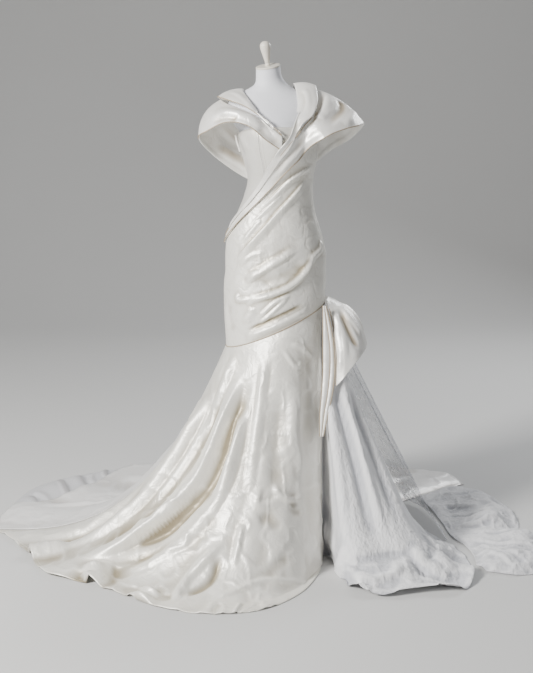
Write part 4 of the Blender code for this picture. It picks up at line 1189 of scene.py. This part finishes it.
def end_tool(tool, start, end, shape):
    real = tool.nodes.new("GeometryNodeRealizeInstances")
    paint = tool.nodes.new("GeometryNodeSetMaterial")
    tool.links.new(shape, real.inputs["Geometry"])
    tool.links.new(real.outputs["Geometry"], paint.inputs["Geometry"])
    tool.links.new(start.outputs["Finish"], paint.inputs["Material"])
    tool.links.new(paint.outputs["Geometry"], end.inputs["Trim"])
    return tool


def make_cord_tool():
    tool, start, end = start_tool("painted shadow cord along a line", "Radius")
    curve = tool.nodes.new("GeometryNodeMeshToCurve")
    ring = tool.nodes.new("GeometryNodeCurvePrimitiveCircle")
    tube = tool.nodes.new("GeometryNodeCurveToMesh")
    ring.inputs["Resolution"].default_value = 8
    tube.inputs["Fill Caps"].default_value = True
    tool.links.new(start.outputs["Line"], curve.inputs["Mesh"])
    tool.links.new(start.outputs["Radius"], ring.inputs["Radius"])
    tool.links.new(curve.outputs["Curve"], tube.inputs["Curve"])
    tool.links.new(ring.outputs["Curve"], tube.inputs["Profile Curve"])
    return end_tool(tool, start, end, tube.outputs["Mesh"])


def make_stitch_tool():
    tool, start, end = start_tool("stitches along a line", "Radius", "Length", "Step")
    curve = tool.nodes.new("GeometryNodeMeshToCurve")
    even = tool.nodes.new("GeometryNodeResampleCurve")
    even.mode = "LENGTH"
    stitch = tool.nodes.new("GeometryNodeMeshCylinder")
    stitch.inputs["Vertices"].default_value = 6
    along = tool.nodes.new("GeometryNodeInputTangent")
    turn = tool.nodes.new("FunctionNodeAlignRotationToVector")
    turn.axis = "Z"
    place = tool.nodes.new("GeometryNodeInstanceOnPoints")
    tool.links.new(start.outputs["Line"], curve.inputs["Mesh"])
    tool.links.new(curve.outputs["Curve"], even.inputs["Curve"])
    tool.links.new(start.outputs["Step"], even.inputs["Length"])
    tool.links.new(start.outputs["Radius"], stitch.inputs["Radius"])
    tool.links.new(start.outputs["Length"], stitch.inputs["Depth"])
    tool.links.new(along.outputs["Tangent"], turn.inputs["Vector"])
    tool.links.new(even.outputs["Curve"], place.inputs["Points"])
    tool.links.new(stitch.outputs["Mesh"], place.inputs["Instance"])
    tool.links.new(turn.outputs["Rotation"], place.inputs["Rotation"])
    return end_tool(tool, start, end, place.outputs["Instances"])


CORD_TOOL = make_cord_tool()
STITCH_TOOL = make_stitch_tool()


def line_on(cloth_name, u=None, v=None, first=0.0, last=1.0, lift=0.0008):
    """A line across (at v) or down (at u) a made cloth, just off its face."""
    raised = made[cloth_name] + faces_out[cloth_name] * lift
    line = raised[:, round(v * (raised.shape[1] - 1))] if u is None else raised[
        round(u * (raised.shape[0] - 1))]
    count = len(line) - 1
    return line[round(first * count):round(last * count) + 1]


def trim(name, tool, line, finish, slot, **sizes):
    """Lays a dark cord that paints an edge's shadow line, or stitches, along a line."""
    mesh = bpy.data.meshes.new(name)
    mesh.from_pydata([tuple(p) for p in line], [(n, n + 1) for n in range(len(line) - 1)], ())
    drawn = bpy.data.objects.new(name + "_line", mesh)
    bpy.context.scene.collection.objects.link(drawn)
    laid = drawn.modifiers.new("Trim", "NODES")
    laid.node_group = tool
    sizes["Finish"] = finish
    for item in tool.interface.items_tree:
        if item.in_out == "INPUT" and item.name in sizes:
            laid[item.identifier] = sizes[item.name]
    view = bpy.context.evaluated_depsgraph_get()
    shape = bpy.data.meshes.new_from_object(drawn.evaluated_get(view))
    drawn.modifiers.remove(laid)
    bpy.data.objects.remove(drawn)
    return new_piece(name, shape, finish)


# ---- the dress form --------------------------------------------------------------------------
def tilt(axis, foot, points):
    """Turns points about the origin so that +Z lies along the axis, then moves them to a foot."""
    turn = Vector((0, 0, 1)).rotation_difference(Vector(axis)).to_matrix()
    return points @ np.array(turn).T + np.array(foot)


def make_torso():
    heights = np.linspace(0.86, 1.44, 60)
    body = BODY.at("height", heights)
    columns = "left right front back share".split()
    low = np.stack([
        body["left"] - FORM_INSIDE, body["right"] + FORM_INSIDE,
        body["front"] + FORM_INSIDE, body["back"] + FORM_INSIDE, 0 * heights], -1)
    number = np.linspace(0, SHOULDERS.count - 1, 90)
    cut = SHOULDERS.at("number", number)
    high = np.stack([cut[c] for c in columns], -1)
    blend = ease((heights - 1.40) / 0.04)[:, None]
    low = low * (1 - blend) + (high[0] * blend)
    rings = np.concatenate([low[:-1], high])
    levels = np.concatenate([heights[:-1], cut["height"]])
    turn = np.linspace(0, math.tau, 97)[:-1]
    middle = (rings[:, 0] + rings[:, 1]) / 2
    half = (rings[:, 1] - rings[:, 0]) / 2
    depth = np.where(np.cos(turn)[:, None] > 0, rings[:, 2], rings[:, 3])
    x = half * np.sin(turn)[:, None]
    y = -depth * np.cos(turn)[:, None]
    slope = math.tan(math.radians(NECK_LEAN)) * x + math.tan(math.radians(NECK_NOD)) * y
    z = levels + rings[:, 4] * slope
    points = np.stack([middle + x, y, z], -1)[:, ::-1]
    mesh = grid_mesh("torso", points, closed=True)
    count = points.shape[1]
    rows = np.arange(96) * count
    faces = [tuple(mesh_face.vertices) for mesh_face in mesh.polygons]
    faces += [tuple((rows + count - 1).tolist()), tuple(rows[::-1].tolist())]
    whole = bpy.data.meshes.new("torso whole")
    whole.from_pydata(points.reshape(-1, 3), (), faces)
    piece = new_piece("torso", whole, JERSEY, ("form_torso",))
    whole.set_sharp_from_angle(angle=math.radians(50))
    return piece


def turned(name, profile, foot, axis, finish, node, steps=64):
    """A smooth profile of (radius, height), top to bottom, turned about an axis."""
    number = np.arange(len(profile))
    fine = np.linspace(0, len(profile) - 1, (len(profile) - 1) * 5 + 1)
    radius = np.interp(fine, number, profile[:, 0])
    height = np.interp(fine, number, profile[:, 1])
    turn = np.linspace(0, math.tau, steps + 1)[:-1]
    points = np.stack([
        radius * np.sin(turn)[:, None], -radius * np.cos(turn)[:, None],
        height + 0 * turn[:, None]], -1)
    mesh = grid_mesh(name, tilt(axis, foot, points), closed=True)
    whole = new_piece(name, mesh, finish, (node,))
    weld(mesh)
    return whole


def weld(mesh):
    import bmesh
    work = bmesh.new()
    work.from_mesh(mesh)
    bmesh.ops.remove_doubles(work, verts=work.verts, dist=0.00002)
    bmesh.ops.dissolve_degenerate(work, edges=work.edges, dist=0.00001)
    bmesh.ops.recalc_face_normals(work, faces=work.faces)
    work.to_mesh(mesh)
    work.free()


def make_form():
    make_torso()
    axis = Vector((-math.tan(math.radians(NECK_LEAN)), -math.tan(math.radians(NECK_NOD)), 1))
    axis.normalize()
    top = SHOULDERS.rows()[-1]
    centre = Vector(((top["left"] + top["right"]) / 2, 0, top["height"]))
    cap_foot = centre + axis * 0.0003
    radius = (top["right"] - top["left"]) / 2 + 0.0008
    cap = np.array([
        (0, 0.0062), (radius - 0.004, 0.0061), (radius - 0.0012, 0.0055), (radius, 0.0042),
        (radius, 0.0016), (radius - 0.001, 0.0003), (radius - 0.002, 0), (0, 0)])
    turned("neck_cap", cap, cap_foot, axis, IVORY, "form_neck_cap")
    profile = FINIAL.at("number", np.linspace(0, FINIAL.count - 1, 60))
    finial = np.stack([np.maximum(profile["radius"], 0), profile["height"]], -1)
    finial[0, 0] = 0
    finial[-1] = (0, 0)
    turned("finial", finial, cap_foot + axis * 0.0063, axis, IVORY, "form_finial")
    for node in ("form_pole", "form_base"):
        bpy.data.objects[node].data.materials.clear()
        bpy.data.objects[node].data.materials.append(POLE_PAINT)


# ---- cloth pieces ------------------------------------------------------------------------------
def paint_crease_shade(piece, sheet, reach=4, depth=0.004):
    """Stores how far each place lies below the cloth round it, as painted shade: the satin and tulle
    finishes darken their base colour there.
    """
    points = made[piece.name]
    height = ((points - sheet.plain) * sheet.out).sum(-1)
    smooth = height
    for axis in (0, 1, 0, 1):
        padded = np.pad(smooth, [(reach, reach) if k == axis else (0, 0) for k in (0, 1)], "edge")
        sums = np.cumsum(padded, axis=axis)
        size = height.shape[axis]
        high = np.take(sums, range(2 * reach, 2 * reach + size), axis=axis)
        low = np.take(sums, range(0, size), axis=axis)
        smooth = (high - low) / (2 * reach)
    # painted shade mask: 0 on open cloth, up to 1 in the deepest creases
    hollow = np.clip((smooth - height) / depth, 0, 1)
    layer = piece.data.attributes.new("hollow", "FLOAT", "POINT")
    layer.data.foreach_set("value", hollow.astype(np.float32).ravel())


def declare(sheet, area=None, ease_share=1.0):
    width = np.linalg.norm(np.diff(sheet.plain, axis=0), axis=-1).sum(0).max() * ease_share
    length = np.linalg.norm(np.diff(sheet.plain, axis=1), axis=-1).sum(1).max()
    area = flat_area(sheet.plain) * ease_share
    area = min(max(area, 0.301 * width * length), width * length)


def make_bodice():
    names = ("bodice_front", "bodice_side_left", "bodice_side_right",
             "bodice_back_right", "bodice_back_left")
    for name, panel in zip(names, BODICE_PANELS.rows()):
        sheet = Sheet(bodice(panel), 40, 40)
        sheet.rise += 0.0006 * soft_noise(sheet.plain, 0.03, 5)
        for side in (0.0, 1.0):
            sheet.rise += 0.0009 * bump((sheet.u - side) / 0.06)
        piece = cloth(name + "_panel", sheet, BODICE_SATIN, (name,),
                      hem=0.0028, edges="t")
        paint_crease_shade(piece, sheet)
        declare(sheet)


def collar_piece(name, node, table, lift, across, down, creases, finish, heart=COLLAR_HEART,
                 amount=0.0012, seed=21):
    sheet = Sheet(strip(table, lift, heart), across, down)
    draw(sheet, creases)
    calm = fade(sheet.u, sheet.v, 0.01, 0.01, 0.03, 0.03)
    sheet.rise += amount * soft_noise(sheet.plain, 0.045, seed) * calm
    piece = cloth(name, sheet, finish, (node,), hem=0.0034, edges="tf")
    paint_crease_shade(piece, sheet)
    declare(sheet)
    return sheet


def make_collars():
    tables = collar_tables()
    for node, lift, across, down, creases in (
            ("collar_left", LEFT_COLLAR_LIFT, 190, 36, LEFT_COLLAR_CREASES),
            ("collar_left_inner", BAND_LIFT, 170, 20, LEFT_ROLL_CREASES),
            ("collar_right", RIGHT_COLLAR_LIFT, 240, 40, RIGHT_COLLAR_CREASES),
            ("collar_right_inner", BAND_LIFT, 200, 20, RIGHT_ROLL_CREASES)):
        collar_piece(node + "_cloth", node, tables[node], lift, across, down, creases,
                     COLLAR_SATIN)


def make_drape():
    sheet = Sheet(drape(-90, 90 - math.degrees(SEWN / 0.15)), 200, 160)
    draw(sheet, DRAPE_CREASES)
    sheet.rise += (0.0011 * soft_noise(sheet.plain, 0.05, 31)
                   - 0.0008 * crumple(sheet.plain, 0.035, 33))
    front = cloth("drape_front_cloth", sheet, SATIN, ("drape_front",),
                  calm=fade(sheet.u, sheet.v, 0.02, 0.02, 0.06, 0.03))
    paint_crease_shade(front, sheet)
    declare(sheet)
    back_sheet = Sheet(drape(90, 270 - math.degrees(SEWN / 0.15)), 150, 110)
    draw(back_sheet, DRAPE_BACK_CREASES)
    back_sheet.rise += 0.0011 * soft_noise(back_sheet.plain, 0.05, 37)
    back = cloth("drape_back_cloth", back_sheet, SATIN, ("drape_back",),
                 calm=fade(back_sheet.u, back_sheet.v, 0.03, 0.03, 0.05, 0.03))
    paint_crease_shade(back, back_sheet)
    declare(back_sheet)


def unevenness(sheet, seed):
    """Soft swells and small sharp creases that no two stretches of satin share."""
    calm = ease(sheet.v / 0.08) * fade(sheet.u, sheet.v, 0.02, 0.02)
    swell = 0.004 * soft_noise(sheet.plain, 0.11, seed)
    sharp = 0.0050 * crumple(sheet.plain, 0.06, seed + 1) * (0.3 + 0.7 * sheet.v)
    sheet.rise += (swell + sharp) * calm


def fold_rise(sheet, table, folds, share=1.0):
    """Puts the skirt's long folds on a sheet."""
    first, last = table.columns["angle"][0], table.columns["angle"][-1]
    angle = first + (last - first) * sheet.u
    for fold in folds.rows():
        middle = fold["seam"] + (fold["hem"] - fold["seam"]) * sheet.v
        wide = (fold["wide_seam"] + (fold["wide_hem"] - fold["wide_seam"]) * sheet.v) * 1.7
        grow = ease((sheet.v - fold["start"]) / (fold["full"] - fold["start"]))
        sheet.rise += share * fold["height"] * grow * bump((angle - middle) / wide)
    sheet.rise *= ease(sheet.u / 0.03) * ease((1 - sheet.u) / 0.03)


def make_skirt():
    front = Sheet(falling(SKIRT_FRONT, DRAPE_LIFT), 220, 160)
    fold_rise(front, SKIRT_FRONT, SKIRT_FOLDS, 0.35)
    draw(front, SKIRT_CREASES)
    unevenness(front, 41)
    piece = cloth("skirt_front_cloth", front, SATIN, ("skirt_front",), hem=0.003,
                  edges="rf")
    paint_crease_shade(piece, front, 7, 0.014)
    declare(front)
    back = Sheet(falling(SKIRT_BACK, DRAPE_LIFT), 180, 120)
    fold_rise(back, SKIRT_BACK, SKIRT_FOLDS, 0.6)
    draw(back, BACK_SKIRT_CREASES)
    unevenness(back, 43)
    piece = cloth("skirt_back_cloth", back, TRAIN_SATIN, ("skirt_back",), hem=0.003,
                  edges="lf")
    paint_crease_shade(piece, back, 6, 0.014)
    declare(back)
    organza = Sheet(lying(UNDERSKIRT_TRAIN), 110, 50)
    draw(organza, ORGANZA_CREASES)
    piece = cloth("underskirt_train_cloth", organza, ORGANZA, ("underskirt_train",))
    paint_crease_shade(piece, organza)
    declare(organza)


def make_tulle_pieces():
    under = Sheet(falling(TULLE_UNDERSKIRT, UNDERSKIRT_LIFT), 170, 120)
    fold_rise(under, TULLE_UNDERSKIRT, TULLE_FOLDS, 0.5)
    draw(under, TULLE_CREASES)
    puffed = ease((under.v - 0.72) / 0.15) * fade(under.u, under.v, 0.05, 0.05)
    under.rise += puffed * (0.024 * soft_noise(under.plain, 0.08, 51)
                            + 0.008 * crumple(under.plain, 0.05, 53))
    piece = cloth("tulle_underskirt_cloth", under, INNER_TULLE, ("tulle_underskirt",),
                  TULLE_WALL)
    paint_crease_shade(piece, under)
    declare(under)
    veil = Sheet(falling(TULLE_OVERLAY, OVERLAY_LIFT), 70, 80)
    draw(veil, VEIL_CREASES)
    piece = cloth("tulle_overlay_cloth", veil, VEIL_TULLE, ("tulle_overlay",), TULLE_WALL)
    paint_crease_shade(piece, veil)
    declare(veil)
    train = Sheet(lying(TULLE_TRAIN), 160, 70)
    draw(train, TRAIN_CREASES)
    train.rise += fade(train.u, train.v, 0.04, 0.04, 0.08, 0.05) * (
        0.010 * soft_noise(train.plain, 0.06, 57) + 0.006 * crumple(train.plain, 0.05, 59))
    piece = cloth("tulle_train_cloth", train, TRAIN_TULLE, ("tulle_train",), TULLE_WALL)
    paint_crease_shade(piece, train)
    declare(train)


def make_fan_and_sash():
    fan = Table(SECTION, *fan_sections(HIP_FAN))
    collar_piece("hip_fan_cloth", "hip_fan", fan, FAN_LIFT, 110, 76, FAN_CREASES, COLLAR_SATIN,
                 FAN_HEART)
    for name, node, left, right in (("sash_pleat_left_cloth", "sash_pleat_left", "left", "middle"),
                                    ("sash_pleat_right_cloth", "sash_pleat_right", "middle", "right")):
        sheet = Sheet(sash(left, right), 16, 80)
        piece = cloth(name, sheet, COLLAR_SATIN, (node,), 0.0009)
        paint_crease_shade(piece, sheet)
        declare(sheet)


def make_hanger_loop():
    def place(u, v):
        row = HANGER_LOOP.at("number", v * (HANGER_LOOP.count - 1))
        return np.stack([row["x"] + 0.005 * (u - 0.5), row["y"], row["z"]], -1)

    sheet = Sheet(place, 8, 40)
    piece = cloth("hanger_loop_cloth", sheet, COLLAR_SATIN, ("hanger_loop",), 0.0008)
    paint_crease_shade(piece, sheet)


def make_trims():
    """Dark beige cords on the collars, band, fan and sash edges, which paint the shadow lines there, and
    the stitched princess seams.
    """
    edges = (
        ("band_upper_edging", line_on("collar_right_cloth", v=0.0, last=0.55)),
        ("band_lower_edging", line_on("collar_right_cloth", v=1.0, last=0.65)),
        ("left_collar_edging", line_on("collar_left_cloth", v=1.0, first=0.5)),
        ("left_roll_edging", line_on("collar_left_inner_cloth", v=1.0, first=0.5)),
        ("fan_edging", line_on("hip_fan_cloth", u=0.0, first=0.1)),
        ("sash_left_edging", line_on("sash_pleat_left_cloth", u=0.0)),
        ("sash_middle_edging", line_on("sash_pleat_left_cloth", u=1.0)),
        ("sash_right_edging", line_on("sash_pleat_right_cloth", u=1.0)),
        ("hip_seam_edging", line_on("drape_front_cloth", v=1.0, last=0.97)),
    )
    # Painted shadow: each edge line becomes a dark beige cord standing for the shade along that edge.
    for name, line in edges:
        trim(name, CORD_TOOL, line, EDGE_SHADOW_BEIGE, "ivory satin", Radius=SHADOW_CORD_RADIUS)
    for name, u in (("left_princess", 0.02), ("right_princess", 0.98)):
        step = 0.05 if u < 0.5 else -0.05
        for number, share in enumerate((u, u + step)):
            line = line_on("bodice_front_panel", u=share, first=0.1, last=0.75, lift=STITCH_LIFT)
            trim(name + "_stitches_%d" % number, STITCH_TOOL, line, THREAD, "ivory satin",
                 Radius=STITCH_RADIUS, Length=0.0022, Step=0.003)
    line = line_on("skirt_front_cloth", v=0.985, first=0.02, last=0.98, lift=STITCH_LIFT)
    trim("skirt_hem_stitches", STITCH_TOOL, line, THREAD, "ivory satin",
         Radius=STITCH_RADIUS, Length=0.0028, Step=0.004)


# ---- floor, light and camera ---------------------------------------------------------------------
def make_floor_piece():
    """A pale floor that sweeps up behind the dress, so that no horizon shows."""
    wide, near, bend, radius, tall = 14.0, -14.0, 3.4, 3.0, 9.0
    turn = np.linspace(0, math.pi / 2, 17)
    run = [(near, 0.0)] + [(bend + radius * math.sin(t), radius * (1 - math.cos(t))) for t in turn]
    run.append((bend + radius, tall))
    verts = [(x, y, z) for y, z in run for x in (-wide, wide)]
    faces = [(2 * n, 2 * n + 1, 2 * n + 3, 2 * n + 2) for n in range(len(run) - 1)]
    mesh = bpy.data.meshes.new("floor")
    mesh.from_pydata(verts, (), faces)
    mesh.polygons.foreach_set("use_smooth", [True] * len(faces))
    mesh.materials.append(make_floor())
    floor = bpy.data.objects.new("floor", mesh)
    bpy.context.scene.collection.objects.link(floor)


def area_light(name, place, aim, size, watts, colour=(1, 1, 1)):
    light = bpy.data.lights.new(name, "AREA")
    light.shape = "RECTANGLE"
    light.size, light.size_y = size
    light.energy = watts
    light.color = colour
    item = bpy.data.objects.new(name, light)
    bpy.context.scene.collection.objects.link(item)
    item.location = place
    item.rotation_euler = (Vector(aim) - Vector(place)).to_track_quat("-Z", "Y").to_euler()


def make_light_and_camera():
    area_light("key", (-3.0, -2.7, 2.9), (0, 0, 0.8), (0.9, 1.3), 420, (1.0, 0.985, 0.955))
    area_light("fill", (3.2, -2.8, 1.6), (0, 0, 0.6), (2.0, 2.0), 12, (0.93, 0.96, 1.0))
    area_light("rim", (2.2, 2.6, 2.6), (0, 0, 0.9), (1.4, 1.4), 75, (0.96, 0.98, 1.0))
    area_light("overhead", (0, 1.2, 4.5), (0, 0.6, 0), (5.0, 5.0), 35)
    world = bpy.data.worlds.new("studio")
    world.use_nodes = True
    world.node_tree.nodes["Background"].inputs["Color"].default_value = (0.74, 0.75, 0.77, 1)
    world.node_tree.nodes["Background"].inputs["Strength"].default_value = 0.20
    bpy.context.scene.world = world
    camera = bpy.data.cameras.new("camera")
    camera.sensor_fit = "VERTICAL"
    camera.sensor_height = 36.0
    camera.lens = 67.67
    item = bpy.data.objects.new("camera", camera)
    bpy.context.scene.collection.objects.link(item)
    item.location = (-0.028, -4.17, 1.65)
    item.rotation_euler = (math.radians(90 - 12.6), 0, 0)
    bpy.context.scene.camera = item


make_floor_piece()
make_form()
make_bodice()
make_collars()
make_drape()
make_skirt()
make_tulle_pieces()
make_fan_and_sash()
make_hanger_loop()
make_trims()
make_light_and_camera()
